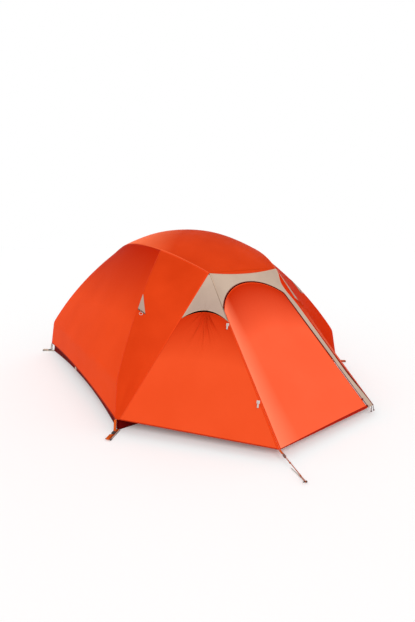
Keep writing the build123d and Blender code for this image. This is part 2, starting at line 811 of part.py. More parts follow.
for slider_name, along in SLIDERS.items():
    plane = zip_plane(along)
    seat = Plane(
        origin=plane.from_local_coords(Vector(SLIDER_MIDDLE, 0, SLIDER_TOP)),
        x_dir=plane.x_dir,
        z_dir=plane.z_dir,
    )
    with BuildPart(seat) as zip_slider:
        with Locations((0, 0, ZIP_T / 2 - SLIDER_TOP)):
            Box(SLIDER_OVERLAP + SLIDER_INNER, SLIDER_LENGTH, 2 * SLIDER_TOP - ZIP_T)
        with Locations((SLIDER_WEB / 2, 0, ZIP_T / 2 - SLIDER_TOP)):
            Box(
                SLIDER_OVERLAP + SLIDER_INNER - SLIDER_WEB,
                SLIDER_LENGTH,
                ZIP_T + 2 * SLIDER_CLEARANCE,
                mode=Mode.SUBTRACT,
            )
        hanger(PULL_HEIGHT, PULL_WIDTH + 2 * PIVOT_SIDE)
    zip_slider.part.label = f"zip_slider_{slider_name}"
    export_step(zip_slider.part, f"parts/zip_slider_{slider_name}.step")
    with BuildPart(seat.offset(PULL_HEIGHT)) as zip_pull:
        hanging_eye(PULL_WIDTH)
        with Locations((0, -PULL_LENGTH / 2, 0)):
            Box(PULL_WIDTH, PULL_LENGTH, PULL_T)
        hanging_eye(PULL_WIDTH, hole=True)
    zip_pull.part.label = f"zip_pull_{slider_name}"
    export_step(zip_pull.part, f"parts/zip_pull_{slider_name}.step")


# Toggles that hold the rolled door, hanging from plates sewn beside the hinge seam
TOGGLE_HEIGHT = TOGGLE_R + SEAT_GAP - TOGGLE_PLATE_T + PIVOT_SIDE


def toggle_plane(drop):
    """Plane on the outside of the vestibule's left side: y uphill, z off the fabric."""
    top = brow_corner(-1, -1)
    normal = end_panel_normal(-1, -1)
    front = (vestibule_corner(-1) - top).normalized()
    rear = (seam_foot(-1, -1) - top).normalized()
    inward = (rear - front * rear.dot(front)).normalized()
    point = top + front * drop + inward * TOGGLE_IN + normal * (FLY_T + SEAT_GAP)
    uphill = (UP - normal * normal.Z).normalized()
    return Plane(origin=point, x_dir=uphill.cross(normal), z_dir=normal)


with BuildPart() as toggle_anchors:
    for drop in TOGGLE_DROPS:
        with Locations(toggle_plane(drop)):
            Box(TOGGLE_PLATE, TOGGLE_PLATE, TOGGLE_PLATE_T, align=(Align.CENTER, Align.CENTER, Align.MIN))
        with Locations(toggle_plane(drop).offset(TOGGLE_PLATE_T)):
            hanger(TOGGLE_HEIGHT, PULL_WIDTH + 2 * PIVOT_SIDE)
toggle_anchors.part.label = "toggle_anchors"
export_step(toggle_anchors.part, "parts/toggle_anchors.step")

for toggle_name, drop in zip(("upper", "lower"), TOGGLE_DROPS):
    with BuildPart(toggle_plane(drop).offset(TOGGLE_PLATE_T + TOGGLE_HEIGHT)) as toggle:
        hanging_eye(PULL_WIDTH)
        with Locations((0, -TOGGLE_NECK / 2, 0)):
            Box(PULL_WIDTH, TOGGLE_NECK, PULL_T)
        with Locations(Location((0, -TOGGLE_NECK - TOGGLE_LENGTH / 2, 0), (90, 0, 0))):
            Cylinder(TOGGLE_R, TOGGLE_LENGTH)
        rims = toggle.edges().filter_by(GeomType.CIRCLE).filter_by(lambda e: e.radius == TOGGLE_R)
        fillet(rims, TOGGLE_R / 2)
        hanging_eye(PULL_WIDTH, hole=True)
    toggle.part.label = f"toggle_{toggle_name}"
    export_step(toggle.part, f"parts/toggle_{toggle_name}.step")


# Inner tent: bathtub floor, straight in front and curved in on the other three sides
def floor_outline(out, z):
    """Outline of the floor at a height."""
    x = UX * out
    y = UY * out
    with BuildSketch(Plane.XY.offset(z)) as outline:
        with BuildLine():
            Line((-x, -y), (x, -y))
            ThreePointArc((x, -y), (x - FLOOR_INSET, 0), (x, y))
            ThreePointArc((x, y), (0, y - FLOOR_INSET), (-x, y))
            ThreePointArc((-x, y), (FLOOR_INSET - x, 0), (-x, -y))
        make_face()
    return outline.sketch


CANOPY_FOOT = on_leg(TUB_HEIGHT + CANOPY_SEAM - CANOPY_LIFT * sin(radians(LEG_LEAN)))
TUB_TOP_OUT = lifted(CANOPY_FOOT, CANOPY_LIFT)[0] + CANOPY_T
FLOOR_WALL_OUT = FLOOR_T / UY
with BuildPart() as bathtub_floor:
    loft([floor_outline(FLOOR_OUT, 0), floor_outline(TUB_TOP_OUT, TUB_HEIGHT)], ruled=True)
    loft(
        [
            floor_outline(FLOOR_OUT - FLOOR_WALL_OUT, FLOOR_T),
            floor_outline(TUB_TOP_OUT - FLOOR_WALL_OUT, TUB_HEIGHT),
        ],
        ruled=True,
        mode=Mode.SUBTRACT,
    )
bathtub_floor.part.label = "bathtub_floor"
export_step(bathtub_floor.part, "parts/bathtub_floor.step")

# Inner canopy: four walls up to a small flat roof under the crossing of the poles
CANOPY_TOP = at_out(CANOPY_TOP_OUT)
CANOPY_LEVELS = [CANOPY_FOOT, at_elbow(), *side_levels(1, ARC_STEPS, ARC_STEPS), CANOPY_TOP]
CANOPY_INSETS = [FLOOR_INSET, ELBOW_INSET, MID_INSET, 0.0, 0.0, 0.0, 0.0]


def canopy_wall(strip, direction, curved):
    """A wall of the canopy, from the tub's edge to the roof."""
    rows = []
    for level, inset in zip(CANOPY_LEVELS, CANOPY_INSETS):
        rows.append(strip(direction, level, CANOPY_LIFT, CANOPY_T, -inset * curved))
    for first, second in zip(rows[:-1], rows[1:]):
        loft([first, second], ruled=True)
    Box(4 * PLAN_HALF_X, 4 * PLAN_HALF_Y, 2 * (TUB_HEIGHT + CANOPY_SEAM), mode=Mode.SUBTRACT)


def inner_doorway(inset, seam):
    """Outline of the inner door's opening, seen from the front, above the seam it hangs on."""
    half = INNER_DOOR_HALF - inset
    foot = TUB_HEIGHT + INNER_DOOR_FOOT + seam
    top = INNER_DOOR_TOP - inset
    with BuildSketch(Plane.XZ) as outline:
        with Locations((0, (foot + top) / 2)):
            Rectangle(2 * half, top - foot)
        upper = outline.vertices().group_by(Axis.Z)[-1]
        fillet(upper, INNER_DOOR_ROUND - inset)
    return outline.sketch


for side, wall_name in ((-1, "canopy_left"), (1, "canopy_right")):
    with BuildPart() as wall:
        canopy_wall(side_strip, side, 1)
    wall.part.label = wall_name
    export_step(wall.part, f"parts/{wall_name}.step")

with BuildPart() as canopy_rear:
    canopy_wall(end_strip, 1, 1)
canopy_rear.part.label = "canopy_rear"
export_step(canopy_rear.part, "parts/canopy_rear.step")

with BuildPart() as canopy_front:
    canopy_wall(end_strip, -1, 0)
    extrude(inner_doorway(0, 0), amount=2 * PLAN_HALF_Y, mode=Mode.SUBTRACT)
canopy_front.part.label = "canopy_front"
export_step(canopy_front.part, "parts/canopy_front.step")

with BuildPart() as inner_door:
    canopy_wall(end_strip, -1, 0)
    extrude(inner_doorway(INNER_DOOR_GAP, SEAT_GAP), amount=2 * PLAN_HALF_Y, mode=Mode.INTERSECT)
inner_door.part.label = "inner_door"
export_step(inner_door.part, "parts/inner_door.step")

ROOF_OUT, ROOF_Z = lifted(CANOPY_TOP, CANOPY_LIFT)
with BuildPart() as canopy_roof:
    with BuildSketch(Plane.XY.offset(ROOF_Z + SEAT_GAP)):
        Rectangle(2 * UX * ROOF_OUT, 2 * UY * ROOF_OUT)
    extrude(amount=CANOPY_T)
canopy_roof.part.label = "canopy_roof"
export_step(canopy_roof.part, "parts/canopy_roof.step")


# Clips and caps on the poles
def pole_profile(side, end):
    """Profile of the main pole that stands in a corner."""
    return OVER if side * end < 0 else UNDER


def clip_plane(side, end, level):
    """Plane on a main pole: x off the pole away from the tent, z along the pole."""
    origin = corner_point(side, end, level.out, level.z)
    away = corner_point(side, end, level.n_out, level.n_z)
    return Plane(origin=origin, x_dir=away, z_dir=diagonal_normal(side, end).cross(away))


with BuildPart() as canopy_clips:
    for side, end in CORNERS:
        profile = pole_profile(side, end)
        turn = radians(TOP_ANGLE) - profile.elbow_angle
        levels = [on_leg(CLIP_LEG_Z, profile), at_out(CLIP_TOP_OUT, profile)]
        for share in CLIP_SHARES:
            levels.append(at_angle(profile.elbow_angle + turn * share, profile))
        outer = POLE_R + CLIP_CLEARANCE + CLIP_WALL
        for level in levels:
            plane = clip_plane(side, end, level)
            over = level if profile is OVER else on_leg(CLIP_LEG_Z)
            if profile is UNDER and level.z > ELBOW_Z:
                over = at_out(level.out)
            step = (over.out - level.out) * level.n_out + (over.z - level.z) * level.n_z
            tab_end = CANOPY_LIFT + CLIP_TAB_END + step
            with BuildSketch(plane) as clip:
                Circle(outer)
                Circle(outer - CLIP_WALL, mode=Mode.SUBTRACT)
                with Locations((outer, 0)):
                    Rectangle(2 * outer - CLIP_WALL, CLIP_MOUTH, mode=Mode.SUBTRACT)
                with Locations(((tab_end - outer + CLIP_WALL / 2) / 2, 0)):
                    Rectangle(CLIP_WALL / 2 - outer - tab_end, CLIP_TAB_T)
            extrude(clip.sketch, amount=CLIP_WIDTH / 2, both=True)
canopy_clips.part.label = "canopy_clips"
export_step(canopy_clips.part, "parts/canopy_clips.step")

# Hub at the crossing of the main poles
with BuildPart() as top_hub:
    hub_half = CROSS_STEP / 2 + POLE_R + CLIP_CLEARANCE + CLIP_WALL
    with Locations((0, 0, PEAK_Z)):
        Cylinder(HUB_R, 2 * hub_half)
    for side, step in ((-1, CROSS_STEP / 2), (1, -CROSS_STEP / 2)):
        with BuildSketch(Plane(origin=(0, 0, PEAK_Z + step), z_dir=(side * UX, UY, 0))):
            Circle(POLE_R + CLIP_CLEARANCE)
        extrude(amount=2 * HUB_R, both=True, mode=Mode.SUBTRACT)
top_hub.part.label = "top_hub"
export_step(top_hub.part, "parts/top_hub.step")

# Clips where the brow poles cross over the main poles, open above the brow pole
CLIP_Y = brow_crossing_y(BROW_POLE_R)
with BuildPart() as brow_cross_clips:
    for side, end in CORNERS:
        crossing = brow_point(side, end * CLIP_Y, BROW_POLE_R)
        level = at_out(hypot(crossing.X, crossing.Y), pole_profile(side, end))
        away = corner_point(side, end, level.n_out, level.n_z)
        foot = corner_point(side, end, level.out, level.z)
        height = (crossing - foot).dot(away)
        foot = crossing - away * height
        ahead = brow_point(side, end * CLIP_Y + POLE_R, BROW_POLE_R)
        along = ahead - brow_point(side, end * CLIP_Y - POLE_R, BROW_POLE_R)
        below = POLE_R + CLIP_CLEARANCE + CLIP_WALL
        with BuildSketch(Plane(origin=foot - away * below, z_dir=away)):
            Circle(CROSS_CLIP_R)
        extrude(amount=below + height + CROSS_CLIP_LIP)
        with BuildSketch(Plane(origin=foot, z_dir=diagonal_normal(side, end).cross(away))):
            Circle(POLE_R + CLIP_CLEARANCE)
        extrude(amount=2 * CROSS_CLIP_R, both=True, mode=Mode.SUBTRACT)
        with BuildSketch(Plane(origin=crossing, z_dir=along.normalized())):
            Circle(POLE_R + CLIP_CLEARANCE)
        extrude(amount=2 * CROSS_CLIP_R, both=True, mode=Mode.SUBTRACT)
brow_cross_clips.part.label = "brow_cross_clips"
export_step(brow_cross_clips.part, "parts/brow_cross_clips.step")

# Tips: a stepped pin on each main pole's foot, a cap on each end of the brow poles
with BuildPart() as pole_tips:
    for side, end in CORNERS:
        profile = pole_profile(side, end)
        down = corner_point(side, end, sin(radians(LEG_LEAN)), -cos(radians(LEG_LEAN)))
        with Locations(Plane(origin=corner_point(side, end, *profile.foot), z_dir=down)):
            Cylinder(POLE_R, TIP_LENGTH, align=(Align.CENTER, Align.CENTER, Align.MIN))
            pin = (FOOT_Z - TIP_PIN_Z) / cos(radians(LEG_LEAN))
            Cylinder(TIP_PIN_R, pin, align=(Align.CENTER, Align.CENTER, Align.MIN))
    for pole_name in ("brow_pole_left", "brow_pole_right"):
        path = POLES[pole_name][0]
        for spot, way in ((0, -1), (1, 1)):
            with Locations(Plane(origin=path @ spot, z_dir=(path % spot) * way)):
                Cylinder(POLE_R, BROW_TIP_LENGTH, align=(Align.CENTER, Align.CENTER, Align.MIN))
pole_tips.part.label = "pole_tips"
export_step(pole_tips.part, "parts/pole_tips.step")


# Corner hardware, drawn along each diagonal: x away from the tent, y across, z up
def corner_plane(side, end):
    """Ground plane of a corner, from the middle of the tent."""
    return Plane(origin=(0, 0, 0), x_dir=(side * UX, end * UY, 0), z_dir=(0, 0, 1))


def block(start, stop, width, low, high, mode=Mode.ADD):
    """Box between two distances and two heights."""
    with Locations(((start + stop) / 2, 0, (low + high) / 2)):
        Box(stop - start, width, high - low, mode=mode)


STRAP_TOP = STRAP_Z + STRAP_T
PIN_OUT = OVER.foot[0] + (FOOT_Z - STRAP_Z - STRAP_T / 2) * tan(radians(LEG_LEAN))
LOOP_END = LOOP_START + LOOP_LENGTH
with BuildPart() as corner_straps:
    for side, end in CORNERS:
        with Locations(corner_plane(side, end)):
            block(FLOOR_OUT + STRAP_SEAM, LOOP_START + LOOP_ROUND, STRAP_WIDTH, STRAP_Z, STRAP_TOP)
            with Locations((PIN_OUT, 0, STRAP_Z)):
                Cylinder(GROMMET_BARREL_R + SEAT_GAP, 4 * STRAP_T, mode=Mode.SUBTRACT)
        x_dir = Vector(side * UX, end * UY, 0)
        middle = x_dir * (LOOP_START + LOOP_LENGTH / 2) + UP * (STRAP_Z + LOOP_HEIGHT / 2)
        with BuildSketch(Plane(origin=middle, x_dir=x_dir, z_dir=x_dir.cross(UP))) as loop:
            RectangleRounded(LOOP_LENGTH, LOOP_HEIGHT, LOOP_ROUND)
            RectangleRounded(
                LOOP_LENGTH - 2 * STRAP_T,
                LOOP_HEIGHT - 2 * STRAP_T,
                LOOP_ROUND - STRAP_T,
                mode=Mode.SUBTRACT,
            )
        extrude(loop.sketch, amount=STRAP_WIDTH / 2, both=True)
corner_straps.part.label = "corner_straps"
export_step(corner_straps.part, "parts/corner_straps.step")

with BuildPart() as grommets:
    for side, end in CORNERS:
        flange = STRAP_T / 2 + SEAT_GAP
        with Locations(corner_plane(side, end)):
            with Locations((PIN_OUT, 0, STRAP_Z + STRAP_T / 2)):
                Cylinder(GROMMET_R, 2 * flange + 2 * GROMMET_T)
                Cylinder(GROMMET_R + SEAT_GAP, 2 * flange, mode=Mode.SUBTRACT)
                Cylinder(GROMMET_BARREL_R, 2 * flange)
                Cylinder(GROMMET_BORE_R, 4 * flange + 2 * GROMMET_T, mode=Mode.SUBTRACT)
grommets.part.label = "grommets"
export_step(grommets.part, "parts/grommets.step")

# Side-release buckles lying on the corner straps, and the fly's straps down to them
BUCKLE_Z = STRAP_TOP + SEAT_GAP
BUCKLE_END = BUCKLE_START + BUCKLE_LENGTH
CAVITY_T = BUCKLE_T - 2 * BUCKLE_WALL
CAVITY_WIDTH = BUCKLE_WIDTH - 2 * BUCKLE_WALL
with BuildPart() as buckle_sockets:
    for side, end in CORNERS:
        with Locations(corner_plane(side, end)):
            block(BUCKLE_START, BUCKLE_END, BUCKLE_WIDTH, BUCKLE_Z, BUCKLE_Z + BUCKLE_T)
    fillet(buckle_sockets.edges().filter_by(Axis.Z), BUCKLE_ROUND)
    for side, end in CORNERS:
        with Locations(corner_plane(side, end)):
            block(
                BUCKLE_START,
                BUCKLE_END - BUCKLE_WALL,
                CAVITY_WIDTH,
                BUCKLE_Z + BUCKLE_WALL,
                BUCKLE_Z + BUCKLE_T - BUCKLE_WALL,
                mode=Mode.SUBTRACT,
            )
buckle_sockets.part.label = "buckle_sockets"
export_step(buckle_sockets.part, "parts/buckle_sockets.step")

PRONG_LOW = BUCKLE_Z + BUCKLE_WALL + SEAT_GAP
PRONG_HIGH = PRONG_LOW + CAVITY_T - 2 * SEAT_GAP
with BuildPart() as buckle_prongs:
    for side, end in CORNERS:
        with Locations(corner_plane(side, end)):
            block(
                BUCKLE_START - PRONG_BAR,
                BUCKLE_END - BUCKLE_WALL - SEAT_GAP,
                CAVITY_WIDTH - 2 * SEAT_GAP,
                PRONG_LOW,
                PRONG_HIGH,
            )
            block(
                BUCKLE_START + BUCKLE_WALL,
                BUCKLE_END,
                CAVITY_WIDTH / 3,
                PRONG_LOW - SEAT_GAP,
                PRONG_HIGH + SEAT_GAP,
                mode=Mode.SUBTRACT,
            )
buckle_prongs.part.label = "buckle_prongs"
export_step(buckle_prongs.part, "parts/buckle_prongs.step")

with BuildPart() as fly_corner_straps:
    for side, end in CORNERS:
        x_dir = Vector(side * UX, end * UY, 0)
        head = Vector(lifted(on_leg(HEM_Z), FLY_LIFT)[0] + FLY_T / 2, HEM_Z - FLY_STRAP_SEAM)
        foot = Vector(BUCKLE_START - PRONG_BAR / 2, PRONG_HIGH + 2 * SEAT_GAP)
        across = Vector(FLY_STRAP_T / 2, 0)
        with BuildSketch(Plane(origin=(0, 0, 0), x_dir=x_dir, z_dir=x_dir.cross(UP))) as strap:
            with BuildLine():
                corners = [head - across, head + across, foot + across, foot - across]
                Polyline(*[(corner.X, corner.Y) for corner in corners], close=True)
            make_face()
        extrude(strap.sketch, amount=FLY_STRAP_WIDTH / 2, both=True)
fly_corner_straps.part.label = "fly_corner_straps"
export_step(fly_corner_straps.part, "parts/fly_corner_straps.step")


# Stakes: a round pin on the ground, its head bent up and across through the loop
def stake(plane, hook_out, hook_z, side_step):
    """A stake whose head crosses a plane's x axis at a distance and a height."""
    with BuildLine(plane, mode=Mode.PRIVATE) as line:
        FilletPolyline(
            (hook_out - STAKE_LENGTH + STAKE_POINT, side_step, STAKE_R),
            (hook_out, side_step, STAKE_R),
            (hook_out, side_step, hook_z),
            (hook_out, -side_step, hook_z),
            radius=STAKE_ROUND,
        )
    swept_round(line.wires()[0], STAKE_R)
    tip = Plane(
        origin=plane.from_local_coords(Vector(hook_out - STAKE_LENGTH + STAKE_POINT, side_step, STAKE_R)),
        z_dir=-plane.x_dir,
    )
    with Locations(tip):
        Cone(STAKE_R, STAKE_TIP_R, STAKE_POINT, align=(Align.CENTER, Align.CENTER, Align.MIN))


HOOK_OUT = LOOP_END - STRAP_T - SEAT_GAP - STAKE_R
HOOK_Z = STRAP_Z + LOOP_HEIGHT / 2
STAKES = {
    "stake_front_left": (-1, -1),
    "stake_front_right": (1, -1),
    "stake_rear_left": (-1, 1),
    "stake_rear_right": (1, 1),
}
for stake_name, (side, end) in STAKES.items():
    with BuildPart() as corner_stake:
        stake(corner_plane(side, end), HOOK_OUT, HOOK_Z, STAKE_SIDE)
    corner_stake.part.label = stake_name
    export_step(corner_stake.part, f"parts/{stake_name}.step")

# Guy line, drawn in the upright plane from the hem's corner to its stake
GUY_FOOT = vestibule_corner(-1)
GUY_WAY = Vector(-GUY_ASIDE, -GUY_REACH, -GUY_FALL).normalized()
GUY_FLAT = hypot(GUY_WAY.X, GUY_WAY.Y)
GUY_PLANE = Plane(origin=GUY_FOOT, x_dir=GUY_WAY, z_dir=GUY_WAY.cross(UP).normalized())
HOOK_LOOP = STAKE_R + CORD_R + HOOK_CLEARANCE

with BuildPart() as vestibule_tab:
    with BuildSketch(GUY_PLANE):
        with Locations(((TAB_START + TAB_LENGTH) / 2, 0)):
            Rectangle(TAB_LENGTH - TAB_START, TAB_T)
    extrude(amount=TAB_WIDTH / 2, both=True)
    hole_at = GUY_PLANE.from_local_coords(Vector(TAB_HOLE_AT, 0, 0))
    with Locations(Plane(origin=hole_at, z_dir=GUY_PLANE.y_dir)):
        Cylinder(CORD_R + CORD_CLEARANCE, 4 * TAB_T, mode=Mode.SUBTRACT)
vestibule_tab.part.label = "vestibule_tab"
export_step(vestibule_tab.part, "parts/vestibule_tab.step")

with BuildPart(GUY_PLANE) as line_tensioner:
    with Locations((TENSIONER_START + TENSIONER_LENGTH / 2, 0, 0)):
        Box(TENSIONER_LENGTH, TENSIONER_WIDTH, TENSIONER_T)
    upright = line_tensioner.edges().filter_by(lambda e: abs(e.length - TENSIONER_T) < SEAT_GAP)
    fillet(upright, TENSIONER_ROUND)
    for way in (-1, 1):
        spot = Location((TENSIONER_START + TENSIONER_LENGTH / 2, way * CORD_SPREAD, 0), (0, 90, 0))
        with Locations(spot):
            Cylinder(CORD_R + CORD_CLEARANCE, 2 * TENSIONER_LENGTH, mode=Mode.SUBTRACT)
line_tensioner.part.label = "line_tensioner"
export_step(line_tensioner.part, "parts/line_tensioner.step")


def guy_fork(knot, far, spread, way):
    """Both legs of a doubled cord, from a knot round a turn and back to it."""
    with BuildLine(GUY_PLANE, mode=Mode.PRIVATE) as line:
        FilletPolyline(
            (knot + way * KNOT_ENTRY, KNOT_ENTRY),
            (knot + way * FORK_LENGTH, spread),
            (far, spread),
            (far, -spread),
            (knot + way * FORK_LENGTH, -spread),
            (knot + way * KNOT_ENTRY, -KNOT_ENTRY),
            radius=spread - SEAT_GAP / 2,
        )
    return line.wires()[0]


with BuildPart() as guy_line:
    swept_round(guy_fork(KNOT_AT, TAB_HOLE_AT, CORD_SPREAD, -1), CORD_R)
    with BuildLine(GUY_PLANE, mode=Mode.PRIVATE) as single:
        Line((KNOT_AT + KNOT_ENTRY, 0), (END_KNOT_AT - KNOT_ENTRY, 0))
    swept_round(single.wires()[0], CORD_R)
    swept_round(guy_fork(END_KNOT_AT, HOOK_AT + HOOK_LOOP, HOOK_LOOP, 1), CORD_R)
guy_line.part.label = "guy_line"
export_step(guy_line.part, "parts/guy_line.step")

with BuildPart() as guy_knots:
    for along in (KNOT_AT, END_KNOT_AT):
        with Locations(GUY_PLANE.from_local_coords(Vector(along, 0, 0))):
            Sphere(KNOT_R)
guy_knots.part.label = "guy_knots"
export_step(guy_knots.part, "parts/guy_knots.step")

with BuildPart() as stake_vestibule:
    ground = Plane(
        origin=(GUY_FOOT.X, GUY_FOOT.Y, 0),
        x_dir=(GUY_WAY.X, GUY_WAY.Y, 0),
        z_dir=(0, 0, 1),
    )
    stake(ground, HOOK_AT * GUY_FLAT, GUY_FOOT.Z + HOOK_AT * GUY_WAY.Z, GUY_STAKE_SIDE)
stake_vestibule.part.label = "stake_vestibule"
export_step(stake_vestibule.part, "parts/stake_vestibule.step")


# Guy-out patches beside the ridges, each with a loop below it
def patch_row(side, end, out, width):
    """Ridge point, point across the gusset and normal at one edge of a patch."""
    level = at_out(out)
    ridge = corner_point(side, end, *lifted(level, FLY_LIFT))
    hem_along = on_leg(HEM_Z).along
    share = (level.along - hem_along) / (CROSS_LEVEL.along - hem_along)
    foot = seam_foot(side, end)
    seam = foot + (brow_corner(side, end) - foot) * share
    across = (seam - ridge).normalized()
    normal = end_panel_normal(side, end)
    rise = (normal - across * normal.dot(across)).normalized()
    part_way = width / (seam - ridge).length
    bulge = 4 * GUSSET_BULGE * bulge_share(level) * part_way * (1 - part_way)
    first = ridge + across * PATCH_TIP + rise * (FLY_T + PATCH_LIFT)
    return first, ridge + across * width + rise * (FLY_T + PATCH_LIFT + bulge), normal


with BuildPart() as guy_patches:
    for side, end in CORNERS:
        rows = [
            patch_row(side, end, PATCH_TOP_OUT, 2 * PATCH_TIP),
            patch_row(side, end, (PATCH_TOP_OUT + PATCH_FOOT_OUT) / 2, PATCH_TIP + PATCH_WIDTH / 2),
            patch_row(side, end, PATCH_FOOT_OUT, PATCH_WIDTH),
        ]
        strips = []
        for first, last, normal in rows:
            across = last - first
            strips.append(fabric_strip(first, last, normal, across, across, PATCH_T))
        loft(strips, ruled=True)
guy_patches.part.label = "guy_patches"
export_step(guy_patches.part, "parts/guy_patches.step")

with BuildPart() as guy_loops:
    for side, end in CORNERS:
        first, last, normal = patch_row(side, end, PATCH_FOOT_OUT, PATCH_WIDTH)
        top_first, top_last, top_normal = patch_row(side, end, PATCH_TOP_OUT, PATCH_WIDTH)
        middle = (first + last) * 0.5
        downhill = (middle - (top_first + top_last) * 0.5).normalized()
        facing = (last - first).cross(downhill).normalized()
        facing = facing if facing.dot(normal) > 0 else -facing
        drop = GUY_LOOP_R + GUY_LOOP_CORD_R + SEAT_GAP
        centre = middle + downhill * drop + facing * 2 * GUY_LOOP_CORD_R
        with Locations(Plane(origin=centre, z_dir=facing)):
            Torus(GUY_LOOP_R, GUY_LOOP_CORD_R)
guy_loops.part.label = "guy_loops"
export_step(guy_loops.part, "parts/guy_loops.step")

# Webbing loops under the middle of the side hems
with BuildPart() as hem_loops:
    hem_mid = lifted(on_leg(HEM_Z + HEM_RISE), FLY_LIFT)[0]
    for side in (-1, 1):
        middle = (side * (UX * hem_mid + FLY_T / 2), 0, HEM_Z + HEM_RISE - SEAT_GAP - HEM_LOOP_LENGTH / 2)
        with BuildSketch(Plane(origin=middle, x_dir=(0, 0, 1), z_dir=(0, 1, 0))):
            SlotOverall(HEM_LOOP_LENGTH, HEM_LOOP_DEPTH)
            SlotOverall(
                HEM_LOOP_LENGTH - 2 * HEM_LOOP_T,
                HEM_LOOP_DEPTH - 2 * HEM_LOOP_T,
                mode=Mode.SUBTRACT,
            )
        extrude(amount=HEM_LOOP_WIDTH / 2, both=True)
hem_loops.part.label = "hem_loops"
export_step(hem_loops.part, "parts/hem_loops.step")

GUY_LENGTHS = [
    guy_fork(KNOT_AT, TAB_HOLE_AT, CORD_SPREAD, -1).length,
    END_KNOT_AT - KNOT_AT - 2 * KNOT_ENTRY,
    guy_fork(END_KNOT_AT, HOOK_AT + HOOK_LOOP, HOOK_LOOP, 1).length,
]
for pole_name, (pole_path, section_count) in POLES.items():
    print(pole_name, "length", round(pole_path.length), "section", round(pole_path.length / section_count))
print("guy line radius", CORD_R, "lengths", [round(length) for length in GUY_LENGTHS])
print("shock cord radius", SHOCK_CORD_R, "clear of ferrule", FERRULE_CLEARANCE)
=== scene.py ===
"""Dress for the dome tent: cloth panels, webbing, cords, materials, light and camera."""

from collections import namedtuple
from math import acos, asin, cos, dist, hypot, pi, radians, sin, sqrt, tan

import bmesh
import bpy
import numpy as np
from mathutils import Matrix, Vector


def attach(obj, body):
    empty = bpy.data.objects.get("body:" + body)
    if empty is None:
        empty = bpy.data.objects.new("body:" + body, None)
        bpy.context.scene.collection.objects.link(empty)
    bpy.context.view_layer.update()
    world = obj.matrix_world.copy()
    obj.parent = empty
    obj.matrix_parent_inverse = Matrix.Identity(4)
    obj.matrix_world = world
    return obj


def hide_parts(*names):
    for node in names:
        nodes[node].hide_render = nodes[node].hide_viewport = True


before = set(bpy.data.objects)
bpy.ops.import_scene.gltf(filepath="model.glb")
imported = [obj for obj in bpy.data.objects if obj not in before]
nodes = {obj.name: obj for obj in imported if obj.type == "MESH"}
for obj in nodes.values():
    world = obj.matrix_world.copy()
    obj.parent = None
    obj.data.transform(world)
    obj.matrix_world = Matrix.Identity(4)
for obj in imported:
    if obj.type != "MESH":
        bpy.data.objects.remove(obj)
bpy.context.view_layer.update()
scene = bpy.context.scene

# The tent's driving sizes, in metres
PLAN_X, PLAN_Y = 1.315, 1.140
PEAK_Z = 1.484
TOP_R, TOP_ANGLE = 1.463, radians(36)
ELBOW_OUT, ELBOW_Z, ELBOW_R = 1.657, 0.401, 0.150
LEG_LEAN = radians(11.5)
FOOT_Z = 0.034
POLE_R, CROSS_GAP, FLY_GAP, CANOPY_GAP = 0.00475, 0.0012, 0.007, 0.020
CROSS_STEP = 2 * POLE_R + CROSS_GAP
FLY_LIFT = POLE_R + FLY_GAP
FLY_T = 0.002
FLY_MID = FLY_T / 2
CANOPY_LIFT = -(POLE_R + CANOPY_GAP)
BROW = np.array([0.395, 1.037, 1.124])
CROSS_OUT = 0.747
HEM_Z, HEM_RISE = 0.100, 0.046
SEAM_STEP = 0.030
VEST = np.array([0.552, 2.070, 0.070])
VENT_REAR, VENT_FRONT, VENT_RISE, VENT_GAP = 0.462, 0.497, 0.080, 0.004
ARCH_X, ARCH_DOWN, ARCH_R, SHOULDER_R = -0.040, 0.122, 0.450, 0.070
STRIP_FOOT, ZIP_GAP, ZIP_LEAN = 0.084, 0.013, radians(7.5)
HEADER_DIP = 0.034
FLOOR_OUT, FLOOR_INSET, TUB_HEIGHT = 1.720, 0.060, 0.150
CANOPY_TOP_OUT = 0.330
DOOR_HALF, DOOR_FOOT, DOOR_TOP, DOOR_ROUND = 0.400, 0.180, 1.000, 0.260
CLOTH_T = 0.0012

DIAGONAL = hypot(PLAN_X, PLAN_Y)
UX, UY = PLAN_X / DIAGONAL, PLAN_Y / DIAGONAL
RIGHT, BACK, UP = np.eye(3)
TENT_MIDDLE = np.array([0.0, 0.0, 0.5])
TINY = 1e-12


# Shares, waves and directions
def unit(v):
    v = np.asarray(v, float)
    return v / np.linalg.norm(v, axis=-1, keepdims=True)


def smooth(x):
    x = np.clip(x, 0, 1)
    return x * x * (3 - 2 * x)


def between(x, low, high):
    """Share of the way from low to high, from 0 to 1."""
    return np.clip((x - low) / (high - low), 0, 1)


def lerp(a, b, t):
    t = np.asarray(t, float)[..., None]
    return a * (1 - t) + b * t


def hump(u):
    """A parabola that is 0 at both ends and 1 in the middle."""
    return 4 * u * (1 - u)


def belly(u, v):
    """1 in the middle of a panel and 0 along its edges."""
    return np.sin(pi * u) * np.sin(pi * v)


def waves(u, v, terms):
    """A sum of soft waves, each given by its height, its turns by u and by v, and its start."""
    return sum(height * np.sin(by_u * u + by_v * v + start) for height, by_u, by_v, start in terms)


def facing(du, dv):
    """Unit normals between two directions, zero where these are parallel."""
    n = np.cross(du, dv)
    return n / np.maximum(np.linalg.norm(n, axis=-1, keepdims=True), TINY)


# The main pole's line in the plane of its diagonal: leg, elbow, side arc, top arc
def polar(radius, angle):
    """A step out and up, by its angle from straight up."""
    return radius * np.array([sin(angle), cos(angle)])


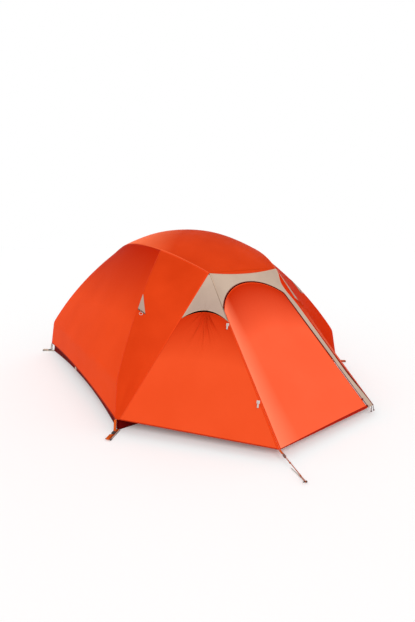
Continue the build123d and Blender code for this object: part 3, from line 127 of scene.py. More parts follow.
TOP_Z = PEAK_Z + CROSS_STEP / 2 - TOP_R
ELBOW_AT = np.array([ELBOW_OUT, ELBOW_Z])
JOINT = polar(TOP_R, TOP_ANGLE) + (0, TOP_Z)
GAP = JOINT - ELBOW_AT
SIDE_R = GAP @ GAP / (2 * polar(1, TOP_ANGLE) @ GAP)
SIDE_C = JOINT - polar(SIDE_R, TOP_ANGLE)
ELBOW = asin((ELBOW_OUT - SIDE_C[0]) / SIDE_R)
LEG = pi / 2 - LEG_LEAN
ELBOW_C = ELBOW_AT - polar(ELBOW_R, ELBOW)
BEND = ELBOW_C + polar(ELBOW_R, LEG)
FOOT_OUT = BEND[0] + (BEND[1] - FOOT_Z) * tan(LEG_LEAN)
LEG_LENGTH = (BEND[1] - FOOT_Z) / cos(LEG_LEAN)
BEND_LENGTH = ELBOW_R * (LEG - ELBOW)
SIDE_LENGTH = SIDE_R * (ELBOW - TOP_ANGLE)
CROSS_ANGLE = asin(CROSS_OUT / TOP_R)
ARC_START = LEG_LENGTH + BEND_LENGTH
ARC_KNEE = ARC_START + SIDE_LENGTH
CROSS_AT = ARC_KNEE + TOP_R * (TOP_ANGLE - CROSS_ANGLE)


def along_leg(z):
    return (z - FOOT_Z) / cos(LEG_LEAN)


def pole_line(along):
    """Distance out, height and normal angle at a length along the pole from its foot."""
    s = np.asarray(along, float)
    on_leg, on_bend, on_side = s < LEG_LENGTH, s < ARC_START, s < ARC_KNEE
    angle = np.select(
        [on_leg, on_bend, on_side],
        [LEG, LEG - (s - LEG_LENGTH) / ELBOW_R, ELBOW - (s - ARC_START) / SIDE_R],
        TOP_ANGLE - (s - ARC_KNEE) / TOP_R,
    )
    centre_out = np.select([on_bend, on_side], [ELBOW_C[0], SIDE_C[0]], 0.0)
    centre_z = np.select([on_bend, on_side], [ELBOW_C[1], SIDE_C[1]], TOP_Z)
    radius = np.select([on_bend, on_side], [ELBOW_R, SIDE_R], TOP_R)
    out = np.where(on_leg, FOOT_OUT - s * sin(LEG_LEAN), centre_out + radius * np.sin(angle))
    z = np.where(on_leg, FOOT_Z + s * cos(LEG_LEAN), centre_z + radius * np.cos(angle))
    return out, z, angle


def ridge(side, end, along, lift):
    """Point on a diagonal, off the pole's line."""
    out, z, angle = pole_line(along)
    out = out + lift * np.sin(angle)
    z = z + lift * np.cos(angle)
    return np.stack([side * UX * out, end * UY * out, z], -1)


# Brow arcs
cross = ridge(1, 1, np.array(CROSS_AT), CROSS_STEP + FLY_LIFT)
CROSS_Y = cross[1]
BROW_SPAN = hypot(cross[0] - BROW[0], cross[2] - BROW[2])
BROW_WX, BROW_WZ = (cross[0] - BROW[0]) / BROW_SPAN, (cross[2] - BROW[2]) / BROW_SPAN
BROW_C = (CROSS_Y**2 + BROW_SPAN**2 - BROW[1] ** 2) / (2 * BROW_SPAN)
BROW_R = hypot(BROW[1], BROW_C)


def sagitta(radius, chord):
    return radius - sqrt(radius**2 - chord**2 / 4)


SIDE_BULGE = sagitta(BROW_R, 2 * CROSS_Y)
GUSSET_BULGE = sagitta(BROW_R, dist(cross, BROW))


def brow_line(side, y):
    y = np.asarray(y, float)
    reach = BROW_C + np.sqrt(BROW_R**2 - y**2)
    return np.stack([side * (BROW[0] + BROW_WX * reach), y, BROW[2] + BROW_WZ * reach], -1)


def fly_lift(along):
    return FLY_LIFT + CROSS_STEP * smooth((along - ARC_KNEE) / (CROSS_AT - ARC_KNEE))


def bulge_share(along):
    return between(along, ARC_START, CROSS_AT) ** 3


def towards_brow(rise, side, share):
    """A panel's own rise, turned by a share into the direction of the brow arc."""
    arc_rise = np.array([side * BROW_WX, 0, BROW_WZ])
    return unit(rise * (1 - share)[..., None] + arc_rise * share[..., None])


# Corners of the fly and of the vestibule
HEM_AT = along_leg(HEM_Z)


def hem_corner(side, end):
    return ridge(side, end, np.array(HEM_AT), FLY_LIFT)


def brow_corner(side, end):
    return BROW * (side, end, 1)


def vest_corner(side):
    return VEST * (side, -1, 1)


def seam_foot(side, end):
    corner = hem_corner(side, end)
    goal = vest_corner(side) if end < 0 else hem_corner(-side, end)
    step = (goal - corner) * (1, 1, 0)
    return corner + unit(step) * SEAM_STEP


def outward(a, b, c):
    n = unit(np.cross(b - a, c - a))
    return n if n @ (a - UP * a[2] / 2) > 0 else -n


def end_normal(side, end):
    third = vest_corner(side) if end < 0 else seam_foot(-side, end)
    return outward(brow_corner(side, end), seam_foot(side, end), third)


FRONT_N = outward(brow_corner(-1, -1), brow_corner(1, -1), vest_corner(-1))
FRONT_O = np.array([0, -BROW[1], BROW[2]])
FRONT_FALL = np.array([0, -VEST[1], VEST[2]]) - FRONT_O
FRONT_LENGTH = np.linalg.norm(FRONT_FALL)
FRONT_DOWN = FRONT_FALL / FRONT_LENGTH


def front_point(x, down, off):
    """Point on the vestibule's front, off its inner face."""
    base = FRONT_O + x[..., None] * RIGHT + down[..., None] * FRONT_DOWN
    return base + off[..., None] * FRONT_N


def seam_x(down):
    return BROW[0] + (VEST[0] - BROW[0]) * down / FRONT_LENGTH


# Doorway on the front: an arch, a rounded shoulder and the straight zip line that leaves it
ARCH_C = np.array([ARCH_X, ARCH_DOWN + ARCH_R])
ZIP_FOOT = np.array([VEST[0] - STRIP_FOOT, FRONT_LENGTH])
ZIP_OUT = np.array([cos(ZIP_LEAN), -sin(ZIP_LEAN)])
SHOULDER = ZIP_LEAN + acos(((ZIP_FOOT - ARCH_C) @ ZIP_OUT - SHOULDER_R) / (ARCH_R - SHOULDER_R))
SHOULDER_C = ARCH_C + (ARCH_R - SHOULDER_R) * np.array([cos(SHOULDER), -sin(SHOULDER)])
ARCH_STEPS, SHOULDER_STEPS = 600, 60


def arc(centre, radius, start, stop, count):
    angle = np.linspace(start, stop, count)
    return centre + radius * np.stack([np.cos(angle), -np.sin(angle)], -1)


def door_edge(t, inset):
    """Doorway's edge from the hinge seam over the arch to the zip's straight run, by 0 to 1."""
    arch = arc(ARCH_C, ARCH_R - inset, pi, SHOULDER, ARCH_STEPS)
    arch = arch[arch[:, 0] > -seam_x(arch[:, 1])]
    turn = arc(SHOULDER_C, SHOULDER_R - inset, SHOULDER, ZIP_LEAN, SHOULDER_STEPS)[1:]
    line = np.concatenate([arch, turn])
    run = np.concatenate([[0], np.cumsum(np.linalg.norm(np.diff(line, axis=0), axis=1))])
    t = np.asarray(t, float) * run[-1]
    return np.interp(t, run, line[:, 0]), np.interp(t, run, line[:, 1])


# The right front seam hangs in by most of a half wave, which ends short of the foot
RIDGE_SAG, RIDGE_TURN = 0.042, 0.9 * pi
# The tan strip's depth in from the straight seam: it starts at the brow, bulges and narrows to its foot
TAN_DEPTH, TAN_START, TAN_FOOT_LOSS, TAN_FOOT_RUN = 0.054, 0.20, 0.58, 0.35
BULGE_DEPTH, BULGE_START, BULGE_DOWN, BULGE_RUN = 0.020, 0.12, 0.25, 0.13


def ridge_sag(down):
    """How far the right front seam hangs in from the straight between its ends."""
    return RIDGE_SAG * np.sin(RIDGE_TURN * between(down, 0, FRONT_LENGTH))


def tan_edge(down):
    """How far in from that straight the tan strip ends."""
    narrowing = 1 - TAN_FOOT_LOSS * smooth(1 - (FRONT_LENGTH - down) / TAN_FOOT_RUN)
    bulge = np.exp(-(((down - BULGE_DOWN) / BULGE_RUN) ** 2)) * smooth(down / BULGE_START)
    return TAN_DEPTH * smooth(down / TAN_START) * narrowing + BULGE_DEPTH * bulge


# Cloth surfaces: each takes u and v from 0 to 1 and gives points
def wall_surface(way, lift_of, foot_of, top_at, insets=None):
    """A wall that faces one way, between its ridges: bulged to the brow arc, or drawn in by insets."""
    x, y = way
    first, last = (x or -1, y or -1), (x or 1, y or 1)

    def surface(u, v):
        start = along_leg(foot_of(u))
        along = start + v * (top_at - start)
        lift = lift_of(along)
        a, b = ridge(*first, along, lift), ridge(*last, along, lift)
        _, _, angle = pole_line(along)
        level = np.sin(angle)
        rise = unit(np.stack([x * UX * level, y * UY * level, np.cos(angle)], -1))
        if insets is None:
            share = bulge_share(along)
            rise = towards_brow(rise, x, share)
            bulge = SIDE_BULGE * share
        else:
            bulge = -insets(along)
        return lerp(a, b, u) + rise * (bulge * hump(u))[..., None]

    return surface


def gusset_surface(side, end):
    """From a pole's ridge to the straight seam of the vestibule or the rear panel."""
    foot, corner, normal = seam_foot(side, end), brow_corner(side, end), end_normal(side, end)

    def surface(u, v):
        along = HEM_AT + v * (CROSS_AT - HEM_AT)
        a = ridge(side, end, along, fly_lift(along))
        b = lerp(foot, corner, v)
        across = unit(b - a)
        rise = unit(normal - across * (across @ normal)[..., None])
        share = bulge_share(along)
        rise = towards_brow(rise, side, share)
        return lerp(a, b, u) + rise * (GUSSET_BULGE * share * hump(u))[..., None]

    return surface


# The roof's crown clears the crossing and falls off towards the brow
ROOF_CLEAR, ROOF_PUFF, ROOF_FALL = 0.003, 0.002, 1.3
ROOF_CROWN = TOP_Z + TOP_R + FLY_LIFT + ROOF_CLEAR - float(brow_line(1, 0.0)[2])
LIP_PUFF = 0.002


def roof_surface(u, v):
    """Across by u, front to rear by v."""
    y = BROW[1] * (2 * v - 1)
    share = np.abs(y) / BROW[1]
    crown = ROOF_CROWN * np.cos(pi / 2 * share**ROOF_FALL) + ROOF_PUFF
    base = lerp(brow_line(-1, y), brow_line(1, y), u)
    return base + UP * (crown * hump(u))[..., None]


def lip_surface(u, v):
    """The roof's front edge, which dips onto the vestibule's front between the brow corners."""
    down = HEADER_DIP * hump(u) * v
    x = seam_x(down) * (2 * u - 1)
    return front_point(x, down, FLY_T + LIP_PUFF * hump(u) * (1 - v))


# Vestibule sides, as rays that fan out from the brow corner
VENT_STEPS = 60


def vest_fan(side):
    """The fan's top, and its first and last ray down to the ground."""
    top = brow_corner(side, -1)
    return top, seam_foot(side, -1) - top, vest_corner(side) - top


def vent_line(side, drop):
    """Share of the way down each ray of the vestibule's side at which the vent's arch lies."""
    _, a, b = vest_fan(side)
    first, last = unit(a) * (VENT_REAR + drop), unit(b) * (VENT_FRONT + drop)
    t = np.linspace(0, 1, VENT_STEPS)
    up = -(first + last)
    chord = unit(last - first)
    up = unit(up - chord * (up @ chord))
    line = lerp(first, last, t) + up * (VENT_RISE * hump(t))[:, None]
    share = np.linalg.lstsq(np.stack([a, b], 1), line.T, rcond=None)[0].T
    total = share.sum(1)
    return share[:, 1] / total, total


def fan_surface(side, drop, shape):
    """A piece of a vestibule side; its shape gives shares down the rays, the rays and the stand-off."""
    top, first, last = vest_fan(side)
    ws, ss = vent_line(side, drop)
    normal = end_normal(side, -1)

    def surface(u, v):
        s, w, off = shape(lambda w: np.interp(w, ws, ss), u, v)
        points = top + s[..., None] * lerp(first, last, w) + normal * off[..., None]
        if side > 0:
            points[..., 0] -= ridge_sag(s * FRONT_LENGTH) * w
        return points

    return surface


# A vent's hood: its start below the brow corner, its stand at the rim, and the pull on the rim's middle
HOOD_START = 0.035
HOOD_PROUD = {-1: 0.016, 1: -0.010}
HOOD_PULL, HOOD_PULL_U, HOOD_PULL_V = ((0.0035, 8, 0, 0.7),), 0.16, 0.22
HOOD_FAN_AT = 1.04


def hood_surface(side):
    def shape(rim, u, v):
        fan = np.arctan2(u - 0.5, HOOD_FAN_AT - v)
        near = np.exp(-(((u - 0.5) / HOOD_PULL_U) ** 2) - ((1 - v) / HOOD_PULL_V) ** 2)
        off = FLY_MID + HOOD_PROUD[side] * hump(u) * v**2 + near * waves(fan, v, HOOD_PULL)
        return rim(u) * (HOOD_START + (1 - HOOD_START) * v), u, off

    return fan_surface(side, 0.0, shape)


# Netting behind the vent's gap: its margin, its run along the rays, and how far back it lies
MESH_MARGIN, MESH_RUN, MESH_ABOVE = 0.06, 0.055, 0.45
MESH_BACK, MESH_BELLY = 0.014, 0.004


def mesh_shape(rim, u, v):
    u = MESH_MARGIN + (1 - 2 * MESH_MARGIN) * u
    off = -MESH_BACK - MESH_BELLY * np.sin(pi * u)
    return rim(u) + MESH_RUN * (v - MESH_ABOVE), u, off


# Below the vent the cloth dips in, hollows, and folds in a fan from the middle of the vent's rim
VEST_DIP, VEST_DIP_RUN, VEST_HOLLOW = 0.010, 0.05, 0.0035
FOLDS = ((0.0085, 13, 0, 0.9), (0.0051, 23, 0, -0.4), (0.002975, 37, 0, 0.0))
FOLD_FAN_AT, FOLD_FAR, FOLD_RUN = 0.05, 0.10, 0.17
FOLD_TOP, FOLD_FOOT = 0.04, 0.1


def vest_shape(rim, u, v):
    fan = np.arctan2(u - 0.5, v + FOLD_FAN_AT)
    ring = np.exp(-(((np.hypot(u - 0.5, v) - FOLD_FAR) / FOLD_RUN) ** 2))
    folds = waves(fan, v, FOLDS) * ring * between(v, 0, FOLD_TOP) * between(1 - v, 0, FOLD_FOOT)
    dip = VEST_DIP * np.exp(-v / VEST_DIP_RUN) + VEST_HOLLOW * hump(v)
    return rim(u) + (1 - rim(u)) * v, u, FLY_MID + (folds - dip) * hump(u)


# The door: taut at its edges, with pulls along the hinge seam, a slight sag and soft waves
DOOR_HINGE_GAP = 0.0005
DOOR_TAUT_U, DOOR_TAUT_V = 0.08, 0.06
DOOR_PULLS, DOOR_PULL_AT, DOOR_PULL_RUN = ((0.0035, 4, 26, 0.0),), 0.05, 0.06
DOOR_WAVES, DOOR_SAG = ((0.0022, 9, 3, 0.6), (0.0015, 17, -6, 0.0)), 0.006
DOOR_HEM_RUN, DOOR_HEM_SHARE = 0.15, 0.2


def door_surface(u, v):
    top_x, top_down = door_edge(u, ZIP_GAP)
    left = -seam_x(FRONT_LENGTH) + DOOR_HINGE_GAP
    right = ZIP_FOOT[0] - ZIP_GAP
    x = top_x + (left + (right - left) * u - top_x) * v
    down = top_down + (FRONT_LENGTH - top_down) * v
    edge = between(np.minimum(u, 1 - u), 0, DOOR_TAUT_U) * between(v, 0, DOOR_TAUT_V)
    pull = np.exp(-(((u - DOOR_PULL_AT) / DOOR_PULL_RUN) ** 2)) * waves(u, v, DOOR_PULLS)
    soft = waves(u, v, DOOR_WAVES) * np.clip((1 - v) / DOOR_HEM_RUN, DOOR_HEM_SHARE, 1)
    return front_point(x, down, FLY_MID + edge * (pull + soft - DOOR_SAG * belly(u, v)))


# Shares of the header's length at the left and right brow corner and at the doorway's shoulder
HEADER_LEFT, HEADER_RIGHT, HEADER_SHOULDER = 0.28, 0.62, 0.80
HEADER_RIPPLE = ((0.0012, 40, 0, 0.0),)
EDGE_START, EDGE_HOLLOW = 0.03, 0.001
REAR_SAG, REAR_WAVES = 0.010, ((0.002, 14, 5, 0.0),)


def header_surface(u, v):
    """Between the doorway's edge (v 0) and the seams above and beside it (v 1)."""
    start, head = door_edge(0.0, 0.0), door_edge(1.0, 0.0)
    low = between(u, HEADER_SHOULDER, 1)
    beside = u > HEADER_SHOULDER
    near_x, near_down = door_edge(between(u, 0, HEADER_SHOULDER), 0.0)
    near_x = np.where(beside, head[0] + (ZIP_FOOT[0] - head[0]) * low, near_x)
    near_down = np.where(beside, head[1] + (ZIP_FOOT[1] - head[1]) * low, near_down)
    rising = start[1] * (1 - between(u, 0, HEADER_LEFT))
    over = between(u, HEADER_LEFT, HEADER_RIGHT)
    falling = head[1] * between(u, HEADER_RIGHT, HEADER_SHOULDER) + (FRONT_LENGTH - head[1]) * low
    far_down = rising + HEADER_DIP * hump(over) + falling
    seam = seam_x(far_down)
    far_x = np.select(
        [u < HEADER_LEFT, u < HEADER_RIGHT], [-seam, seam * (2 * over - 1)], seam - tan_edge(far_down)
    )
    x, down = near_x + (far_x - near_x) * v, near_down + (far_down - near_down) * v
    return front_point(x, down, FLY_MID + waves(u, v, HEADER_RIPPLE) * np.sin(pi * v))


def edge_surface(u, v):
    """Fly cloth between the tan strip and the right front seam."""
    down = EDGE_START + (FRONT_LENGTH - EDGE_START) * u
    near, far = tan_edge(down), ridge_sag(down)
    x = seam_x(down) - near + (near - far) * v
    return front_point(x, down, FLY_MID - EDGE_HOLLOW * np.sin(pi * v))


def rear_surface(u, v):
    a = lerp(brow_corner(-1, 1), seam_foot(-1, 1), v)
    b = lerp(brow_corner(1, 1), seam_foot(1, 1), v)
    off = FLY_MID + (waves(u, v, REAR_WAVES) - REAR_SAG) * belly(u, v)
    return lerp(a, b, u) + end_normal(-1, 1) * off[..., None]


# Mesh helpers
def link(name, data):
    obj = bpy.data.objects.new(name, data)
    scene.collection.objects.link(obj)
    return obj


def grid_mesh(name, points, uv, material, thickness):
    """A quad sheet through a grid of points, with its cut pattern's metres as its UV map."""
    nu, nv = points.shape[:2]
    index = np.arange(nu * nv).reshape(nu, nv)
    quads = np.stack([index[:-1, :-1], index[1:, :-1], index[1:, 1:], index[:-1, 1:]], -1).reshape(-1, 4)
    mesh = bpy.data.meshes.new(name)
    mesh.from_pydata(points.reshape(-1, 3).tolist(), [], quads.tolist())
    layer = mesh.uv_layers.new(name="UVMap")
    flat = uv.reshape(-1, 2)
    layer.data.foreach_set("uv", flat[quads.ravel()].ravel())
    mesh.polygons.foreach_set("use_smooth", np.ones(len(quads), bool))
    mesh.materials.append(material)
    obj = link(name, mesh)
    solid = obj.modifiers.new("thickness", "SOLIDIFY")
    solid.thickness = thickness
    solid.offset = 0
    return obj


def metres(points):
    """Mean lengths along the grid's two directions, as UV."""
    du = np.linalg.norm(np.diff(points, axis=0), axis=-1).mean(1)
    dv = np.linalg.norm(np.diff(points, axis=1), axis=-1).mean(0)
    u = np.concatenate([[0], np.cumsum(du)])
    v = np.concatenate([[0], np.cumsum(dv)])
    return np.stack(np.meshgrid(u, v, indexing="ij"), -1)


def area_of(points):
    a = np.cross(points[1:, :-1] - points[:-1, :-1], points[:-1, 1:] - points[:-1, :-1])
    b = np.cross(points[1:, :-1] - points[1:, 1:], points[:-1, 1:] - points[1:, 1:])
    return float((np.linalg.norm(a, axis=-1) + np.linalg.norm(b, axis=-1)).sum() / 2)


# Materials
def feed(made, inputs):
    """Links a node's inputs to other sockets, or sets their constants."""
    for key, value in dict(inputs).items():
        socket = made.inputs[key]
        if isinstance(value, bpy.types.NodeSocket):
            socket.id_data.links.new(value, socket)
        else:
            socket.default_value = value


def adder(tree):
    """The helper that adds nodes to a tree."""

    def node(kind, inputs=(), **settings):
        made = tree.nodes.new(kind)
        for key, value in settings.items():
            setattr(made, key, value)
        feed(made, inputs)
        return made

    return node


def shader(name, roughness, gloss=0.5):
    """A new material with its shader and the helper that adds nodes."""
    mat = bpy.data.materials.new(name)
    mat.use_nodes = True
    bsdf = mat.node_tree.nodes["Principled BSDF"]
    feed(bsdf, {"Roughness": roughness, "Specular IOR Level": gloss})
    return mat, bsdf, adder(mat.node_tree)


def math_node(node, operation, a, b=0.0):
    return node("ShaderNodeMath", {0: a, 1: b}, operation=operation).outputs[0]


def mix_colour(node, factor, a, b):
    return node("ShaderNodeMix", {0: factor, 6: a, 7: b}, data_type="RGBA").outputs[2]


def noise(node, position, scale, detail, distortion=0.0):
    inputs = {"Vector": position, "Scale": scale, "Detail": detail, "Distortion": distortion}
    return node("ShaderNodeTexNoise", inputs).outputs[0]


def bump(node, height, strength, distance, **below):
    inputs = {"Height": height, "Strength": strength, "Distance": distance, **below}
    return node("ShaderNodeBump", inputs).outputs[0]


def map_range(node, value, start=0.0, stop=1.0, first=0.0, last=1.0):
    """A value between start and stop, spread from first to last."""
    return node("ShaderNodeMapRange", {0: value, 1: start, 2: stop, 3: first, 4: last}).outputs[0]


def srgb(colour):
    def linear(c):
        c = c / 255
        return c / 12.92 if c <= 0.04045 else ((c + 0.055) / 1.055) ** 2.4

    return (*map(linear, colour), 1.0)


def tinted(colour, share, more=0.0):
    """A colour scaled by a share, with a little white added."""
    return tuple(min(1.0, c * share + more) for c in colour[:3]) + (1.0,)


def ripple(node, coordinate, pitch):
    """A soft line every pitch along a coordinate, from 0 to 1."""
    turns = math_node(node, "MULTIPLY", coordinate, 2 * pi / pitch)
    wave = math_node(node, "SINE", turns)
    return math_node(node, "MULTIPLY_ADD", wave, 0.5)


# A ripstop grid's thick threads: their share of its pitch, their tint and their height over the weave
RIP_SHARE, RIP_TINT, RIP_HEIGHT = 0.10, 0.16, 1.4
STITCH_SHARE, STITCH_HALF, STITCH_HEIGHT = 0.62, 0.035, 2.0
RIB_PITCH, STRAND_PITCH = 0.0016, 0.0021
CLOTH_GLOSS, TAPE_GLOSS = 0.012, 0.04


def cloth(name, dye_and_painted_light, weave, painted_light_fades=()):
    """Ripstop taffeta: fine weave, a raised grid of thicker threads, slow dyeing and slack, with painted
    shade and highlights laid over its colour.
    """
    roughness, rip, thread, sheer, slack = weave
    colour, deep = map(srgb, dye_and_painted_light)
    mat, bsdf, node = shader(name, roughness, CLOTH_GLOSS)
    uv = node("ShaderNodeUVMap", uv_map="UVMap").outputs[0]
    across, along, _ = node("ShaderNodeSeparateXYZ", {0: uv}).outputs
    position = node("ShaderNodeNewGeometry").outputs["Position"]
    cloud = noise(node, position, scale=2.3, detail=4.0)
    spread = map_range(node, cloud, 0.35, 0.65)
    base = mix_colour(node, spread, colour, deep)
    # Each fade lays painted shade or a painted highlight over part of the panel
    for way, start, stop, most, painted_colour in painted_light_fades:
        reach = node("ShaderNodeVectorMath", {0: uv, 1: way}, operation="DOT_PRODUCT").outputs["Value"]
        amount = map_range(node, reach, start, stop, most, 0.0)
        base = mix_colour(node, amount, base, srgb(painted_colour))
    lines = []
    for coordinate in (across, along):
        fraction = math_node(node, "FRACT", math_node(node, "DIVIDE", coordinate, rip))
        lines.append(math_node(node, "LESS_THAN", fraction, RIP_SHARE))
    grid = math_node(node, "MAXIMUM", *lines)
    base = mix_colour(node, math_node(node, "MULTIPLY", grid, RIP_TINT), base, deep)
    fine = noise(node, position, scale=90.0, detail=3.0)
    worn = map_range(node, fine, 0.3, 0.7, roughness - 0.05, roughness + 0.07)
    threads = math_node(node, "MULTIPLY", ripple(node, across, thread), ripple(node, along, thread))
    height = math_node(node, "ADD", threads, math_node(node, "MULTIPLY", grid, RIP_HEIGHT))
    near = bump(node, height, strength=0.25, distance=0.0002)
    drift = noise(node, position, scale=5.5, detail=2.0, distortion=0.6)
    normal = bump(node, drift, strength=0.6, distance=slack, Normal=near)
    feed(bsdf, {"Base Color": base, "Roughness": worn, "Normal": normal})
    if sheer:
        through = node("ShaderNodeBsdfTranslucent", {"Color": base, "Normal": normal})
        both = node("ShaderNodeMixShader", {0: sheer, 1: bsdf.outputs[0], 2: through.outputs[0]})
        feed(mat.node_tree.nodes["Material Output"], {"Surface": both.outputs[0]})
    return mat


def tape(name, colour, thread_colour, stitching):
    """A seam, hem or webbing: ribs along it and rows of stitches; u runs along, v across."""
    pitch, rows = stitching
    colour = srgb(colour)
    mat, bsdf, node = shader(name, 0.6, TAPE_GLOSS)
    uv = node("ShaderNodeUVMap", uv_map="UVMap").outputs[0]
    along, across, _ = node("ShaderNodeSeparateXYZ", {0: uv}).outputs
    dash = math_node(node, "FRACT", math_node(node, "DIVIDE", along, pitch))
    on_dash = math_node(node, "LESS_THAN", dash, STITCH_SHARE)
    total = 0.0
    for row in rows:
        off = math_node(node, "ABSOLUTE", math_node(node, "SUBTRACT", across, row))
        line = math_node(node, "MULTIPLY", math_node(node, "LESS_THAN", off, STITCH_HALF), on_dash)
        total = math_node(node, "MAXIMUM", total, line)
    position = node("ShaderNodeNewGeometry").outputs["Position"]
    cloud = noise(node, position, scale=35.0, detail=3.0)
    base = mix_colour(node, cloud, colour, tinted(colour, 0.82))
    stitches = math_node(node, "MULTIPLY", total, STITCH_HEIGHT)
    height = math_node(node, "ADD", ripple(node, along, RIB_PITCH), stitches)
    sewn = mix_colour(node, total, base, srgb(thread_colour))
    normal = bump(node, height, strength=0.4, distance=0.0003)
    feed(bsdf, {"Base Color": sewn, "Normal": normal})
    return mat


def moulded(name, colour, roughness, metallic=0.0, gloss=0.5):
    """Moulded plastic or metal: fine grain, scuffs on its edges and faint colour drift."""
    colour = srgb(colour)
    mat, bsdf, node = shader(name, roughness, gloss)
    geometry = node("ShaderNodeNewGeometry").outputs
    fine = noise(node, geometry["Position"], scale=400.0, detail=3.0)
    cloud = noise(node, geometry["Position"], scale=30.0, detail=2.0)
    scuff = map_range(node, geometry["Pointiness"], 0.52, 0.60, last=0.12)
    base = mix_colour(node, cloud, colour, tinted(colour, 0.8))
    base = mix_colour(node, scuff, base, tinted(colour, 1.5, 0.05))
    worn = map_range(node, fine, first=roughness - 0.06, last=roughness + 0.08)
    normal = bump(node, fine, strength=0.2, distance=0.0001)
    feed(bsdf, {"Base Color": base, "Roughness": worn, "Normal": normal, "Metallic": metallic})
    return mat


def stake_metal(name, head_from):
    """A stake's drawn pin, dark on its head past a distance from the tent's middle."""
    mat = moulded(name, STAKE_PALE, 0.4, 0.6)
    node = adder(mat.node_tree)
    bsdf = mat.node_tree.nodes["Principled BSDF"]
    worn = bsdf.inputs["Base Color"].links[0].from_socket
    place = node("ShaderNodeTexCoord").outputs["Object"]
    flat = node("ShaderNodeVectorMath", {0: place, 1: (1.0, 1.0, 0.0)}, operation="MULTIPLY").outputs[0]
    out = node("ShaderNodeVectorMath", {0: flat}, operation="LENGTH").outputs["Value"]
    dipped = math_node(node, "GREATER_THAN", out, head_from)
    feed(bsdf, {"Base Color": mix_colour(node, dipped, worn, srgb(STAKE_DARK))})
    return mat


def braid(name, colour, fleck):
    """Braided cord: crossing strands with a tracer thread."""
    mat, bsdf, node = shader(name, 0.62)
    position = node("ShaderNodeNewGeometry").outputs["Position"]
    x, y, z = node("ShaderNodeSeparateXYZ", {0: position}).outputs
    lean = ripple(node, math_node(node, "ADD", y, x), STRAND_PITCH)
    turn = ripple(node, math_node(node, "SUBTRACT", y, z), STRAND_PITCH)
    strands = math_node(node, "MULTIPLY", lean, turn)
    base = mix_colour(node, strands, srgb(colour), srgb(fleck))
    normal = bump(node, strands, strength=0.6, distance=0.0005)
    feed(bsdf, {"Base Color": base, "Normal": normal})
    return mat


# Dyes, each as its colour and a deeper one. The fly is one orange cloth: its lighter copies below are
# painted light on single panels, and its darker copy is painted shade
ORANGE = ((213, 63, 20), (202, 56, 15))
# Painted light: a lighter copy of the fly's orange, for the side panels
SIDE_PAINTED_LIGHT = ((232, 73, 26), (227, 69, 23))
# Painted light: a lighter copy of the fly's orange, for the vestibule's sides
FRONT_PAINTED_LIGHT = ((226, 78, 36), (222, 74, 32))
# Painted light: the lightest copy of the fly's orange, for the door
DOOR_PAINTED_LIGHT = ((245, 95, 58), (241, 91, 54))
# Painted shade: a darker copy of the fly's orange, for the right front gusset and the fly's edge beside the
# tan strip
SHADE = ((202, 46, 6), (192, 40, 4))
TAN = ((190, 168, 150), (174, 152, 136))
GREY = ((206, 200, 190), (186, 180, 170))
MAROON = ((116, 12, 6), (84, 4, 4))
NETTING = ((52, 26, 22), (34, 16, 14))
PATCH = ((178, 154, 140), (150, 126, 114))
STAKE_PALE, STAKE_DARK = (204, 198, 190), (60, 50, 46)
# Painted shade and highlights over a panel, fading across it: the way on the cut, where it starts and stops,
# its most and its colour
ACROSS, ALONG, TO_REAR_LEFT = (1.0, 0.0, 0.0), (0.0, 1.0, 0.0), (-1.0, 1.0, 0.0)
# Painted shade: the side panels darken towards their top
SIDE_PAINTED_SHADE = ((ALONG, 1.45, 0.70, 0.95, (178, 28, 0)),)
# Painted highlight: the roof lightens towards its rear left
ROOF_PAINTED_HIGHLIGHT = ((TO_REAR_LEFT, 1.15, 0.45, 1.0, (255, 118, 72)),)
# Painted shade: the vestibule's sides darken just below the vents
FRONT_PAINTED_SHADE = ((ALONG, 0.0, 0.42, 1.0, (192, 44, 8)),)
# Painted shade at the door's top under the header, and a painted highlight along its hinge edge
DOOR_PAINTED_SHADE_AND_HIGHLIGHT = ((ALONG, 0.02, 0.46, 1.0, (190, 40, 4)), (ACROSS, 0.02, 0.18, 0.8, (255, 130, 94)))
# Painted shade: the fly's edge beside the tan strip darkens towards its foot
EDGE_PAINTED_SHADE = ((ACROSS, 1.20, 0.55, 0.96, (78, 26, 20)),)
# Painted shade: the vent hoods darken towards their rim
VENT_PAINTED_SHADE = ((ALONG, 0.50, 0.12, 0.85, (160, 136, 126)),)
# Weaves: roughness, pitch of the rip grid, thread, share of light let through, slack
FLY_WEAVE = (0.52, 0.006, 0.0007, 0.10, 0.004)
EDGE_WEAVE = (0.52, 0.006, 0.0007, 0.0, 0.004)
TAN_WEAVE = (0.55, 0.006, 0.0007, 0.06, 0.003)
CANOPY_WEAVE = (0.7, 0.004, 0.0008, 0.2, 0.004)
FLOOR_WEAVE = (0.5, 0.005, 0.0009, 0.0, 0.005)
MESH_WEAVE = (0.8, 0.003, 0.0009, 0.0, 0.002)
PATCH_WEAVE = (0.6, 0.004, 0.0009, 0.0, 0.002)
# Stitching: its pitch and its rows across the tape
TWIN = (0.0035, (0.22, 0.78))
FOLDED = (0.0035, (0.5,))
SINGLE = (0.004, (0.5,))
TACKED = (0.018, (0.5,))
WEBBED = (0.003, (0.2, 0.8))
